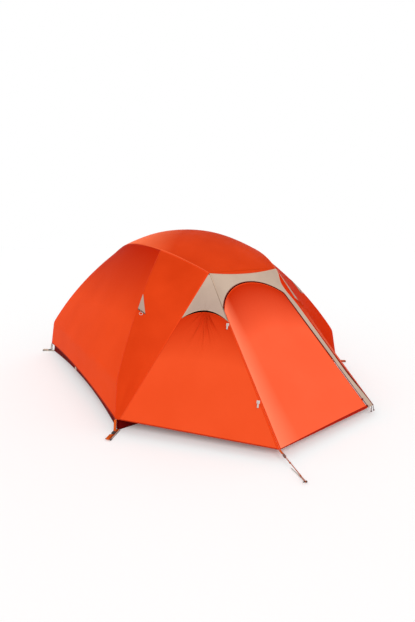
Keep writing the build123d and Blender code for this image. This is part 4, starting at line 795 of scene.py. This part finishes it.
# Distances out at which the dark heads of the stakes start
CORNER_HEAD, GUY_HEAD = 1.835, 2.375
MAT = {
    "fly": cloth("fly_orange", ORANGE, FLY_WEAVE),
    # The fly's cloths from the roof to the edge, and the tan vent, carry painted light and shade in their
    # colours
    "roof": cloth("fly_orange_roof_painted_highlight", ORANGE, FLY_WEAVE, ROOF_PAINTED_HIGHLIGHT),
    "side": cloth("fly_orange_side_painted_light", SIDE_PAINTED_LIGHT, FLY_WEAVE, SIDE_PAINTED_SHADE),
    "front": cloth("fly_orange_front_painted_light", FRONT_PAINTED_LIGHT, FLY_WEAVE, FRONT_PAINTED_SHADE),
    "door": cloth("fly_orange_door_painted_light", DOOR_PAINTED_LIGHT, FLY_WEAVE, DOOR_PAINTED_SHADE_AND_HIGHLIGHT),
    "shade": cloth("fly_orange_painted_shade", SHADE, FLY_WEAVE),
    "edge": cloth("fly_edge_painted_shade", SHADE, EDGE_WEAVE, EDGE_PAINTED_SHADE),
    "tan": cloth("fly_tan", TAN, TAN_WEAVE),
    "vent": cloth("fly_tan_vent_painted_shade", TAN, TAN_WEAVE, VENT_PAINTED_SHADE),
    "canopy": cloth("canopy_grey", GREY, CANOPY_WEAVE),
    "floor": cloth("floor_maroon", MAROON, FLOOR_WEAVE),
    "mesh": cloth("vent_mesh", NETTING, MESH_WEAVE),
    "patch": cloth("patch_grey", PATCH, PATCH_WEAVE),
    "seam": tape("seam_tape", (226, 66, 20), (196, 48, 14), TWIN),
    # Painted highlight: the brow seams' tape is lighter than the other seam tape
    "ridge": tape("ridge_tape_painted_highlight", (240, 92, 48), (206, 60, 24), TWIN),
    "crease": tape("crease_tape", (224, 60, 16), (204, 52, 12), TWIN),
    "door_hem": tape("door_hem_tape", (160, 24, 8), (130, 20, 8), TWIN),
    # Painted shade: a dark copy of the seam tape
    "seam_painted_shade": tape("seam_painted_shade_tape", (112, 26, 14), (84, 20, 12), TWIN),
    "hem": tape("hem_tape", (176, 42, 12), (140, 30, 10), TWIN),
    "tan_seam": tape("tan_tape", (196, 168, 146), (160, 130, 110), TWIN),
    # Painted shade: a darker tan for the folded edge of the left vent hood
    "tan_painted_shade": tape("tan_fold_painted_shade", (146, 126, 112), (120, 100, 88), FOLDED),
    "floor_seam": tape("floor_tape", (70, 20, 20), (46, 12, 12), SINGLE),
    "canopy_seam": tape("canopy_tape", (176, 170, 160), (140, 134, 126), SINGLE),
    # The patch's stitched hem is real; its dark brown is a painted shadow along the patch's lower edge
    "patch_hem_painted_shade": tape("patch_hem_painted_shade", (92, 62, 52), (226, 210, 198), TACKED),
    "webbing": tape("webbing_orange", (206, 86, 22), (140, 50, 14), WEBBED),
    "pale": tape("webbing_pale", (226, 204, 186), (170, 146, 130), WEBBED),
    "pole": moulded("pole_tube", (196, 198, 200), 0.3, 1.0),
    "ferrule": moulded("ferrule", (210, 210, 210), 0.25, 1.0),
    "tip": moulded("tip_metal", (150, 150, 152), 0.35, 1.0),
    "black": moulded("black_plastic", (38, 40, 38), 0.5),
    "zip": moulded("zip_dark", (118, 14, 4), 0.6, gloss=0.0),
    "pull": moulded("pull_grey", (170, 160, 156), 0.5),
    "toggle": moulded("toggle_grey", (190, 178, 172), 0.45),
    "tensioner": moulded("tensioner_brown", (112, 66, 50), 0.5),
    "grommet": moulded("grommet", (190, 170, 120), 0.3, 1.0),
    "stake": stake_metal("stake_corner", CORNER_HEAD),
    "stake_guy": stake_metal("stake_guy", GUY_HEAD),
    "shock": braid("shock_cord", (40, 40, 42), (90, 90, 92)),
    "cord": braid("cord_orange", (180, 76, 6), (116, 46, 4)),
    "cord_pale": braid("cord_pale", (226, 212, 202), (150, 122, 110)),
    "cord_brown": braid("cord_brown", (84, 34, 22), (52, 22, 16)),
}

# Panels, and the bands on their edges
Sheet = namedtuple("Sheet", "obj surface body flat area rests trims")
PIECES = {}
BAND_ROWS, BAND_T, BAND_ROUND = 4, 0.0006, 0.75
FLAT_SPARE = 1.001


def panel(name, surface, count, material, rests, swap=None, body="tent", thickness=CLOTH_T):
    """A sheet of cloth on a surface, in place of the CAD node named by swap."""
    u, v = np.meshgrid(np.linspace(0, 1, count[0]), np.linspace(0, 1, count[1]), indexing="ij")
    points = surface(u, v)
    uv = metres(points)
    obj = grid_mesh(name, points, uv, MAT[material], thickness)
    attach(obj, body)
    if swap:
        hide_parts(swap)
    area = area_of(points)
    width, length = float(uv[-1, 0, 0]), float(uv[0, -1, 1])
    if area > width * length:
        width = area / length * FLAT_SPARE
    PIECES[name] = Sheet(obj, surface, body, (width, length), area, rests, [])


def band(owner, edge, width, material, count=90, lift=0.0009, end=None):
    """A seam or hem along one edge of a panel, on its outer face; end is its width at the far end."""
    sheet = PIECES[owner]
    along_v = edge[0] == "u"
    length = sheet.flat[0] if along_v else sheet.flat[1]
    a, share = np.meshgrid(np.linspace(0, 1, count), np.linspace(0, 1, BAND_ROWS), indexing="ij")
    b = share * np.linspace(width, end or width, count)[:, None] / length
    if edge[1] == "1":
        b = 1 - b
    u, v = (b, a) if along_v else (a, b)
    points = sheet.surface(u, v)
    step = 1e-3
    u, v = np.clip(u, step, 1 - step), np.clip(v, step, 1 - step)
    n = facing(
        sheet.surface(u + step, v) - sheet.surface(u - step, v),
        sheet.surface(u, v + step) - sheet.surface(u, v - step),
    )
    if ((points - TENT_MIDDLE) * n).sum() < 0:
        n = -n
    profile = lift * (1 - BAND_ROUND * np.linspace(-1, 1, BAND_ROWS) ** 4)
    points = points + n * profile[None, :, None]
    uv = metres(points)
    uv[..., 1] = np.linspace(0, 1, BAND_ROWS)
    made = grid_mesh(f"{owner}_{edge}_seam", points, uv, MAT[material], BAND_T)
    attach(made, sheet.body)
    sheet.trims.append(made)


SLACK_EDGE = 0.12


def with_slack(surface, amount, seed):
    """A surface with soft tension lines that fade at its edges; the narrow grids of bands have none."""
    terms = ((amount, 7, 4, seed), (0.6 * amount, 13, -5, 2 * seed), (0.4 * amount, 6, 23, 0.0))

    def slack(u, v):
        points = surface(u, v)
        if min(points.shape[:2]) <= BAND_ROWS:
            return points
        n = facing(np.gradient(points, axis=0), np.gradient(points, axis=1))
        fade = smooth(np.minimum(np.minimum(u, 1 - u), np.minimum(v, 1 - v)) / SLACK_EDGE)
        return points + n * (waves(u, v, terms) * fade)[..., None]

    return slack


def hem_height(u):
    return HEM_Z + HEM_RISE * hump(u)


SIDES = ((-1, "left"), (1, "right"))
ENDS = ((-1, "front"), (1, "rear"))
MAIN_POLES = ["main_pole_over", "main_pole_under"]
BROW_POLES = ["brow_pole_left", "brow_pole_right"]
# Widths of the seams and hems, and what differs between the left and the right
RIM, NARROW, SEAM, WIDE, RIDGE = 0.006, 0.008, 0.010, 0.012, 0.014
DOOR_HEM = 0.022
# The left vent's front edge has a band of darker tan, painted shade in its fold
VENT_EDGE = {-1: (0.007, "tan_painted_shade"), 1: (0.020, "seam")}
# The right vestibule side's front seam has the dark seam tape of painted shade
VEST_EDGE = {-1: "seam", 1: "seam_painted_shade"}
SIDE_SEED = {-1: 0.7, 1: 2.1}
SIDE_SLACK, FLY_SLACK = 0.0016, 0.0012
ROOF_SEED = 0.4
MESH_T = 0.0005

for side, name in SIDES:
    surface = wall_surface((side, 0), fly_lift, hem_height, CROSS_AT)
    surface = with_slack(surface, SIDE_SLACK, SIDE_SEED[side])
    # The side panels' cloth is the lighter orange of painted light, with painted shade towards their top
    panel(f"side_{name}", surface, (110, 90), "side", MAIN_POLES, f"fly_{name}_side")
    band(f"side_{name}", "v0", WIDE, "hem")
    band(f"side_{name}", "u0", WIDE, "crease")
    band(f"side_{name}", "u1", WIDE, "crease")
    for end, place in ENDS:
        surface = with_slack(gusset_surface(side, end), FLY_SLACK, side + end)
        key = f"gusset_{place}_{name}"
        # The right front gusset takes the darker orange of painted shade
        dye_and_painted_light = "shade" if key == "gusset_front_right" else "fly"
        panel(f"cloth_{key}", surface, (50, 80), dye_and_painted_light, MAIN_POLES, key)
        band(f"cloth_{key}", "u1", SEAM, "seam")
        band(f"cloth_{key}", "v1", WIDE, "seam", count=50)
    vent = f"vent_{name}"
    # The hood's tan has painted shade towards its rim
    panel(vent, hood_surface(side), (50, 30), "vent", [f"brow_pole_{name}"], f"vent_hood_{name}")
    band(vent, "v1", NARROW, "tan_seam", count=50)
    band(vent, "u1", *VENT_EDGE[side], count=50)
    band(vent, "u0", RIM, "tan_seam", count=50)
    hood = [f"vent_hood_{name}"]
    surface = fan_surface(side, 0.0, mesh_shape)
    panel(f"vent_mesh_{name}", surface, (50, 8), "mesh", hood, thickness=MESH_T)
    vestibule = f"vestibule_side_{name}"
    sewn_to = [f"gusset_front_{name}", "brow_header"]
    surface = fan_surface(side, VENT_GAP, vest_shape)
    # The vestibule's sides take the lighter orange of painted light, with painted shade below the vents
    panel(vestibule, surface, (90, 90), "front", sewn_to, f"vestibule_{name}")
    band(vestibule, "v1", NARROW, "hem")
    band(vestibule, "u1", WIDE, VEST_EDGE[side])
    band(vestibule, "v0", NARROW, "seam")

surface = with_slack(roof_surface, FLY_SLACK, ROOF_SEED)
# The roof's cloth has a painted highlight towards its rear left
panel("roof", surface, (90, 110), "roof", BROW_POLES, "fly_roof")
# The brow seams' lighter tape is a painted highlight
band("roof", "u0", RIDGE, "ridge")
band("roof", "u1", RIDGE, "ridge")
band("roof", "v1", WIDE, "seam")
panel("roof_lip", lip_surface, (60, 8), "fly", BROW_POLES)
panel("header", header_surface, (160, 14), "tan", BROW_POLES, "brow_header")
band("header", "v1", SEAM, "tan_seam", count=160)
# The fly's edge beside the tan strip is the darker orange of painted shade, darkening further towards its
# foot
panel("strip_edge", edge_surface, (110, 8), "edge", ["brow_header"])
hinge_and_zip = ["vestibule_left", "zip_chain"]
# The door's cloth is the lightest orange of painted light, with painted shade at its top and a painted
# highlight along its hinge edge
panel("door", door_surface, (100, 100), "door", hinge_and_zip, "vestibule_door", "vestibule_door_body")
band("door", "v1", RIM, "door_hem", end=DOOR_HEM)
band("door", "v0", SEAM, "seam")
band("door", "u1", SEAM, "seam")
band("door", "u0", WIDE, "seam")
panel("rear", rear_surface, (80, 60), "fly", BROW_POLES, "fly_rear")
band("rear", "v1", WIDE, "hem")

# Inner tent: its walls hang off the poles' lines and are drawn in at their feet
TOP_AT = ARC_KNEE + TOP_R * (TOP_ANGLE - asin(CANOPY_TOP_OUT / TOP_R))
WALL_SEAT, WALL_OFF, WALL_BOW, REAR_SEAT = 0.0003, 0.001, 0.0118, 0.006
CANOPY_FOOT = TUB_HEIGHT + WALL_SEAT - CANOPY_LIFT * sin(LEG_LEAN)
CANOPY_SLACK, REAR_SEED = 0.002, 0.3
INSET_AT = (along_leg(CANOPY_FOOT), ARC_START, ARC_START + SIDE_LENGTH / 4, ARC_START + SIDE_LENGTH / 2)
INSETS = (0.06, 0.04, 0.014, 0.0)
WALL_HOLDS = ["canopy_clips", "bathtub_floor"]


def canopy_lift(along):
    return CANOPY_LIFT + WALL_OFF + 0 * along


def wall_inset(along):
    return np.interp(along, INSET_AT, INSETS)


def wall_foot(u):
    return CANOPY_FOOT + WALL_BOW * hump(u)


for side, name in SIDES:
    surface = wall_surface((side, 0), canopy_lift, wall_foot, TOP_AT, wall_inset)
    surface = with_slack(surface, CANOPY_SLACK, side)
    panel(f"inner_wall_{name}", surface, (60, 60), "canopy", WALL_HOLDS, f"canopy_{name}")
surface = wall_surface((0, 1), canopy_lift, lambda u: CANOPY_FOOT + REAR_SEAT, TOP_AT, wall_inset)
surface = with_slack(surface, CANOPY_SLACK, REAR_SEED)
panel("inner_wall_rear", surface, (60, 60), "canopy", WALL_HOLDS, "canopy_rear")


def half_doorway(z, inset):
    half, top, round_r = DOOR_HALF - inset, DOOR_TOP - inset, DOOR_ROUND - inset
    rise = between(z, top - round_r, top)
    return np.where(z > top, 0.0, half - round_r + round_r * np.sqrt(1 - rise**2))


def front_wall(way, low, high, inner, outer):
    """The inner front wall, straight across: between two half-widths, from low to high."""

    def surface(u, v):
        along = low + v * (high - low)
        edge = ridge(1, -1, along, canopy_lift(along))
        a, b = inner(edge), outer(edge)
        x = way * (a + (b - a) * u)
        return np.stack([x, edge[..., 1], edge[..., 2]], -1)

    return surface


INNER_DOOR_GAP, INNER_DOOR_SEAT, INNER_DOOR_BELOW = 0.003, 0.0006, 0.0032
SILL_SEAT, INNER_HEM_LIFT = 0.0005, 0.0006
HEIGHT_STEPS = 4000


def at_height(z):
    along = np.linspace(0, TOP_AT, HEIGHT_STEPS)
    return float(np.interp(z, ridge(1, -1, along, canopy_lift(along))[:, 2], along))


def wall_half(edge):
    return np.abs(edge[..., 0])


def doorway_half(edge):
    return half_doorway(edge[..., 2], 0.0)


def inner_door_half(edge):
    return half_doorway(edge[..., 2], INNER_DOOR_GAP)


SILL_AT = at_height(DOOR_FOOT)
for side, name in SIDES:
    surface = front_wall(side, SILL_AT, TOP_AT, doorway_half, wall_half)
    swap = "canopy_front" if side < 0 else None
    panel(f"inner_wall_front_{name}", surface, (30, 120), "canopy", WALL_HOLDS, swap)
surface = front_wall(1, at_height(TUB_HEIGHT + SILL_SEAT), SILL_AT, lambda edge: -wall_half(edge), wall_half)
panel("inner_wall_sill", surface, (60, 6), "canopy", WALL_HOLDS)
surface = front_wall(
    1,
    at_height(DOOR_FOOT + INNER_DOOR_SEAT),
    at_height(DOOR_TOP - INNER_DOOR_BELOW),
    lambda edge: -inner_door_half(edge),
    inner_door_half,
)
panel("inner_door_cloth", surface, (50, 100), "canopy", ["canopy_front"], "inner_door", "inner_door_body")
band("inner_door_cloth", "v0", WIDE, "canopy_seam", lift=INNER_HEM_LIFT)

ROOF_SEAT, INNER_ROOF_SAG = 0.0013, 0.004
roof_corner = ridge(1, 1, np.array(TOP_AT), CANOPY_LIFT)


def inner_roof(u, v):
    z = roof_corner[2] + ROOF_SEAT - INNER_ROOF_SAG * belly(u, v)
    return np.stack([roof_corner[0] * (2 * u - 1), roof_corner[1] * (2 * v - 1), z], -1)


panel("inner_roof", inner_roof, (24, 24), "canopy", ["top_hub"], "canopy_roof")

# Bathtub floor: a crumpled wall round a slightly uneven sheet
TUB_LAP, TUB_SKIN, FLOOR_MARGIN = 0.002, 0.001, 0.003
CRUMPLE = ((0.0018, 160, 6, 0.0),)
FLOOR_Z, FLOOR_UNEVEN = 0.0014, 0.0006
FLOOR_SWELL, FLOOR_CHOP = ((1, 31, 9, 0.0),), ((1, 0, 27, 0.0),)
LAST_TURN = 3.9999
TUB_TOP_OUT = float(np.hypot(*ridge(1, 1, np.array(along_leg(CANOPY_FOOT)), CANOPY_LIFT)[:2])) + TUB_LAP


def tub_edge(t, out):
    """Outline of the floor, once round by t from 0 to 4: front, right, rear, left."""
    x, y = UX * out, UY * out
    part = np.floor(np.clip(t, 0, LAST_TURN)).astype(int)
    k = t - part
    dip = FLOOR_INSET * hump(k)
    px = np.choose(part, [-x + 2 * x * k, x - dip, x - 2 * x * k, -x + dip])
    py = np.choose(part, [-y + 0 * k, -y + 2 * y * k, y - dip, y - 2 * y * k])
    return px, py


def tub_wall(u, v):
    out = FLOOR_OUT + (TUB_TOP_OUT - FLOOR_OUT) * v - TUB_SKIN
    px, py = tub_edge(4 * u, out)
    drawn_in = 1 - waves(u, v, CRUMPLE) * np.sin(pi * v)
    return np.stack([px * drawn_in, py * drawn_in, TUB_SKIN + (TUB_HEIGHT - TUB_SKIN) * v], -1)


def tub_floor(u, v):
    x, y = UX * (FLOOR_OUT - FLOOR_MARGIN), UY * (FLOOR_OUT - FLOOR_MARGIN)
    half = x - FLOOR_INSET * hump(v)
    far = y - FLOOR_INSET * hump(u)
    z = FLOOR_Z + FLOOR_UNEVEN * (1 + waves(u, v, FLOOR_SWELL) * waves(u, v, FLOOR_CHOP))
    return np.stack([half * (2 * u - 1), -y + (far + y) * v, z], -1)


panel("tub_floor", tub_floor, (90, 90), "floor", ["corner_straps"], "bathtub_floor")
panel("tub_wall", tub_wall, (321, 10), "floor", ["corner_straps"])
band("tub_wall", "v1", SEAM, "floor_seam", count=321)

# Webbing
WEBBING_T, WEBBING_ROUND, WEBBING_ROWS = 0.0016, 0.3, 7


def ribbon(name, path, sideways, width, material, swap):
    """Webbing along a path, flat across one direction, in place of a CAD node."""
    path, sideways = np.asarray(path, float), unit(sideways)
    across = np.linspace(-0.5, 0.5, WEBBING_ROWS)
    points = path[:, None, :] + sideways * (across * width)[None, :, None]
    uv = metres(points)
    uv[..., 1] = across + 0.5
    obj = grid_mesh(name, points, uv, MAT[material], WEBBING_T)
    edge = obj.modifiers.new("edge", "BEVEL")
    edge.width = WEBBING_T * WEBBING_ROUND
    edge.segments = 2
    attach(obj, "tent")
    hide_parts(swap)


def rounded_ring(length, height, radius, count=7):
    """Centre line of a rounded rectangle, from the middle of its lower side, once round."""
    corners = ((1, -1, -90), (1, 1, 0), (-1, 1, 90), (-1, -1, 180))
    points = [(0.0, -height / 2)]
    for sx, sy, start in corners:
        cx, cy = sx * (length / 2 - radius), sy * (height / 2 - radius)
        for step in range(count):
            angle = radians(start + 90 * step / (count - 1))
            points.append((cx + radius * cos(angle), cy + radius * sin(angle)))
    points.append((0.0, -height / 2))
    return np.array(points)


# Guy patches: distances out along the ridge, reach from it, flare to the foot, and stand off the gusset
PATCH_TOP, PATCH_FOOT = 1.180, 1.290
PATCH_REACH, PATCH_WIDTH, PATCH_FLARE = 0.004, 0.004, 0.076
PATCH_LIFT, PATCH_PUFF, PATCH_T = 0.0036, 0.0006, 0.0010


def up_gusset(out):
    """Share of the gusset's length at a distance out on the pole's side arc."""
    along = ARC_START + SIDE_R * (ELBOW - asin((out - SIDE_C[0]) / SIDE_R))
    return (along - HEM_AT) / (CROSS_AT - HEM_AT)


def patch_surface(side, end):
    gusset = gusset_surface(side, end)
    normal = end_normal(side, end)
    top, foot = up_gusset(PATCH_TOP), up_gusset(PATCH_FOOT)

    def surface(u, v):
        row = top + (foot - top) * v
        span = np.linalg.norm(gusset(np.ones_like(row), row) - gusset(0 * row, row), axis=-1)
        reach = PATCH_REACH + u * (PATCH_WIDTH + PATCH_FLARE * v)
        lift = PATCH_LIFT + PATCH_PUFF * np.sin(pi * u)
        return gusset(reach / span, row) + normal * lift[..., None]

    return surface


# Corner straps with their stake loops, and the fly's straps down to the bars of the buckles
LOOP_OUT, LOOP_Z = 1.806, 0.013
LOOP_LENGTH, LOOP_LAP, LOOP_HEIGHT, LOOP_ROUND = 0.060, 0.002, 0.010, 0.004
STRAP_WIDTH, STRAP_Z, STRAP_GAP, STRAP_LAP, STRAP_STEPS = 0.028, 0.008, 0.0006, 0.03, 24
FLY_STRAP_WIDTH, FLY_STRAP_SEAM, FLY_STRAP_STEPS = 0.020, 0.0005, 14
BUCKLE_BAR_OUT, BUCKLE_BAR_Z = 1.76375, 0.018
CORNERS = {(-1, -1): "front_left", (1, -1): "front_right", (-1, 1): "rear_left", (1, 1): "rear_right"}
ring = rounded_ring(LOOP_LENGTH - LOOP_LAP, LOOP_HEIGHT, LOOP_ROUND)
for (side, end), place in CORNERS.items():
    out_way = np.array([side * UX, end * UY, 0.0])
    aside = np.cross(UP, out_way)
    weave = "webbing" if end < 0 else "pale"
    flat_run = np.linspace(FLOOR_OUT + STRAP_GAP, LOOP_OUT + STRAP_LAP, STRAP_STEPS)
    loop_middle = out_way * (LOOP_OUT + LOOP_LENGTH / 2) + UP * LOOP_Z
    strap = [out_way * out + UP * STRAP_Z for out in flat_run]
    strap += [loop_middle + out_way * out + UP * up for out, up in ring[1:]]
    ribbon(f"strap_{place}", strap, aside, STRAP_WIDTH, weave, "corner_straps")
    hem_out = float(np.hypot(*hem_corner(side, end)[:2])) + FLY_MID
    head = out_way * hem_out + UP * (HEM_Z - FLY_STRAP_SEAM)
    foot = out_way * BUCKLE_BAR_OUT + UP * BUCKLE_BAR_Z
    line = lerp(head, foot, np.linspace(0, 1, FLY_STRAP_STEPS))
    ribbon(f"fly_strap_{place}", line, aside, FLY_STRAP_WIDTH, weave, "fly_corner_straps")
    patch = f"patch_{place}"
    on_gusset = [f"gusset_{place}"]
    panel(patch, patch_surface(side, end), (16, 16), "patch", on_gusset, "guy_patches", thickness=PATCH_T)
    # The patch's hem along its lower edge carries a painted shadow
    band(patch, "v1", WIDE, "patch_hem_painted_shade", count=24)

# Loops under the middle of the side hems
HEM_LOOP_WIDTH, HEM_LOOP_DROP = 0.018, 0.0173
HEM_LOOP_LENGTH, HEM_LOOP_DEPTH, HEM_LOOP_ROUND = 0.0322, 0.0062, 0.003
ring = rounded_ring(HEM_LOOP_LENGTH, HEM_LOOP_DEPTH, HEM_LOOP_ROUND)
hem_mid = ridge(1, 1, np.array(along_leg(HEM_Z + HEM_RISE)), FLY_LIFT)[0] + FLY_MID
loop_z = HEM_Z + HEM_RISE - HEM_LOOP_DROP
for side, name in SIDES:
    path = [(side * hem_mid + out, 0, loop_z + up) for up, out in ring]
    ribbon(f"hem_loop_{name}", path, BACK, HEM_LOOP_WIDTH, "pale", "hem_loops")

# Guy line: doubled from the tab through the tensioner to a knot, single, doubled round the stake
GUY_FOOT = vest_corner(-1)
GUY_WAY = unit(np.array([-0.042, -0.255, -0.056]))
GUY_SIDE = unit(np.cross(GUY_WAY, UP))
GUY_UP = np.cross(GUY_SIDE, GUY_WAY)
GUY_AXES = (GUY_WAY, GUY_UP, GUY_SIDE)
CORD_D = 0.0036
KNOTS, KNOT_SPREAD = {"near": 0.110, "far": 0.214}, 0.002
TAB_START, TAB_END, TAB_WIDTH, TAB_STEPS = 0.0017, 0.034, 0.016, 12


def guy_point(along, up):
    return GUY_FOOT + GUY_WAY * along + GUY_UP * up


def guy_route(route):
    return [guy_point(*spot) for spot in route]


tab_run = [guy_point(along, 0.0) for along in np.linspace(TAB_START, TAB_END, TAB_STEPS)]
ribbon("tab_cloth", tab_run, GUY_SIDE, TAB_WIDTH, "webbing", "vestibule_tab")


def cord_curve(name, points, swap=None, finish=(CORD_D, "cord")):
    """A limp cord through its points."""
    diameter, material = finish
    curve = bpy.data.curves.new(name, "CURVE")
    curve.dimensions = "3D"
    spline = curve.splines.new("NURBS")
    spline.points.add(len(points) - 1)
    for spot, place in zip(spline.points, points):
        spot.co = (*place, 1.0)
    spline.order_u = 3
    spline.use_endpoint_u = True
    spline.resolution_u = 12
    curve.bevel_depth = diameter / 2
    curve.bevel_resolution = 5
    curve.use_fill_caps = True
    curve.materials.append(MAT[material])
    obj = link(name, curve)
    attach(obj, "tent")
    if swap:
        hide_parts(swap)


def fork(knot, spread, runs):
    """Route of a doubled stretch: out from the knot on one side, round and back on the other."""
    half = [(knot[0], KNOT_SPREAD)] + [(along, spread) for along in (knot[1], *runs)]
    return half + [(along, -up) for along, up in reversed(half)]


# A knot's wraps, each by its shift along the cord and its tilt; their radius, thickness and steps
WRAPS = ((-0.0032, 0.35), (0.0, -0.25), (0.0032, 0.3))
WRAP_R, STRAND_R, WRAP_TILT = 0.0036, 0.0019, 0.0016
WRAP_STEPS, STRAND_STEPS = 18, 8


def turns(count):
    return [2 * pi * i / count for i in range(count)]


def knot_mesh(name, centre, axes, material):
    """An overhand knot: wraps drawn tight round the cord, whose way is the first axis."""
    way, up, side = axes
    made = bmesh.new()
    for index, (shift, tilt) in enumerate(WRAPS):
        rings = []
        for a in turns(WRAP_STEPS):
            out = up * cos(a) + side * sin(a)
            middle = centre + way * (shift + WRAP_TILT * tilt * cos(a + index)) + out * WRAP_R
            strand = [STRAND_R * (out * cos(b) + way * sin(b)) for b in turns(STRAND_STEPS)]
            rings.append([made.verts.new(middle + step) for step in strand])
        for here, there in zip(rings, rings[1:] + rings[:1]):
            for j in range(STRAND_STEPS):
                k = (j + 1) % STRAND_STEPS
                made.faces.new((here[j], there[j], there[k], here[k]))
    bmesh.ops.recalc_face_normals(made, faces=made.faces)
    mesh = bpy.data.meshes.new(name)
    made.to_mesh(mesh)
    made.free()
    mesh.polygons.foreach_set("use_smooth", [True] * len(mesh.polygons))
    mesh.materials.append(MAT[material])
    obj = link(name, mesh)
    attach(obj, "tent")
    return obj


for name, along in KNOTS.items():
    knot_mesh(f"knot_{name}", guy_point(along, 0.0), GUY_AXES, "cord")
    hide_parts("guy_knots")
tab_loop = guy_route(fork((0.108, 0.090), 0.0042, (0.079, 0.032, 0.026)))
cord_curve("guy_tab_loop", tab_loop, "guy_line")
single = guy_route([(0.112, 0.0), (0.146, 0.0), (0.180, 0.0), (0.212, 0.0)])
cord_curve("guy_single", single, "guy_line")
tail = guy_route([(0.1125, 0.0042), (0.146, 0.0038), (0.180, 0.0040), (0.2115, 0.0042)])
cord_curve("guy_tail", tail)
stake_loop = guy_route(fork((0.216, 0.234), 0.005, (0.256, 0.263)))
cord_curve("guy_stake_loop", stake_loop, "guy_line")

# Two short cord ends at the right foot of the strip, sewn under its hem, each with a knot
RIGHT_FOOT = vest_corner(1) - (ridge_sag(FRONT_LENGTH), 0, 0)
FOOT_CORD = (0.005, "cord_brown")
FOOT_DROP, FOOT_SEWN, FOOT_STEPS = 0.046, 0.004, 6
FOOT_AXES = (-UP, BACK, RIGHT)
# Each end's place along the hem, its swing outwards and its length
FOOT_ENDS = {"inner": (-0.026, 0.000, 0.054), "outer": (-0.004, 0.016, 0.057)}
for name, (sewn, swing, length) in FOOT_ENDS.items():
    hem = RIGHT_FOOT + (sewn, 0, 0)
    fall = np.linspace(0, 1, FOOT_STEPS)
    hang = [hem + (swing * k**2, -0.001, -FOOT_SEWN - (FOOT_DROP - FOOT_SEWN) * k) for k in fall]
    knot = knot_mesh(f"foot_knot_{name}", hang[-1], FOOT_AXES, "cord_brown")
    points = [hem + (0, 0.008, 0.005), *hang]
    cord_curve(f"foot_cord_{name}", points, None, FOOT_CORD)

# Finishes of the CAD pieces that stay
FINISH = {
    "pole": (*MAIN_POLES, *BROW_POLES),
    "ferrule": ("pole_ferrules",),
    "tip": ("pole_tips",),
    "shock": ("shock_cords",),
    "black": ("top_hub", "brow_cross_clips", "canopy_clips", "buckle_sockets", "buckle_prongs"),
    "zip": ("zip_chain", "zip_slider_upper", "zip_slider_lower"),
    "pull": ("zip_pull_upper", "zip_pull_lower"),
    "toggle": ("toggle_upper", "toggle_lower", "toggle_anchors"),
    "cord_pale": ("guy_loops",),
    "tensioner": ("line_tensioner",),
    "grommet": ("grommets",),
    "stake": tuple(f"stake_{place}" for place in CORNERS.values()),
    "stake_guy": ("stake_vestibule",),
}
for key, names in FINISH.items():
    for name in names:
        for slot in nodes[name].material_slots:
            slot.link = "OBJECT"
            slot.material = MAT[key]

# Ground, light and camera
GROUND_HALF, GROUND_Z = 40.0, -0.0005
WHITE, PALE = (1.0, 1.0, 1.0, 1.0), (0.97, 0.97, 0.97, 1.0)
SKY_STRENGTH, BACKDROP_STRENGTH = 0.62, 1.0
SUN_WAY, SUN_STRENGTH, SUN_SPREAD = (0.42, 0.66, -0.62), 2.1, radians(40)
CAMERA_AT, CAMERA_DOWN, CAMERA_YAW = (-2.0917, -3.4789, 1.4379), radians(12.2), radians(34.5)
CAMERA_LENS, CAMERA_SENSOR = 20.19, 36.0

mesh = bpy.data.meshes.new("ground")
corners = [(x * GROUND_HALF, y * GROUND_HALF, GROUND_Z) for x, y in ((-1, -1), (1, -1), (1, 1), (-1, 1))]
mesh.from_pydata(corners, [], [(0, 1, 2, 3)])
mat, bsdf, _ = shader("ground_pale", 0.9, 0.1)
feed(bsdf, {"Base Color": PALE})
mesh.materials.append(mat)
link("ground", mesh)

world = bpy.data.worlds.new("studio")
scene.world = world
world.use_nodes = True
node = adder(world.node_tree)
sky = world.node_tree.nodes["Background"]
feed(sky, {"Color": WHITE, "Strength": SKY_STRENGTH})
backdrop = node("ShaderNodeBackground", {"Color": WHITE, "Strength": BACKDROP_STRENGTH})
rays = node("ShaderNodeLightPath").outputs
seen = math_node(node, "MAXIMUM", rays["Is Camera Ray"], rays["Is Glossy Ray"])
seen = math_node(node, "MAXIMUM", seen, rays["Is Transmission Ray"])
blend = node("ShaderNodeMixShader", {0: seen, 1: sky.outputs[0], 2: backdrop.outputs[0]})
feed(world.node_tree.nodes["World Output"], {"Surface": blend.outputs[0]})

light = bpy.data.lights.new("key", "SUN")
light.energy = SUN_STRENGTH
light.angle = SUN_SPREAD
sun = link("key", light)
sun.rotation_euler = Vector(SUN_WAY).to_track_quat("-Z", "Y").to_euler()

lens = bpy.data.cameras.new("camera")
lens.sensor_fit = "VERTICAL"
lens.sensor_height = CAMERA_SENSOR
lens.lens = CAMERA_LENS
camera = link("camera", lens)
camera.location = CAMERA_AT
camera.rotation_euler = (pi / 2 - CAMERA_DOWN, 0.0, -CAMERA_YAW)
scene.camera = camera
scene.view_settings.view_transform = "Standard"
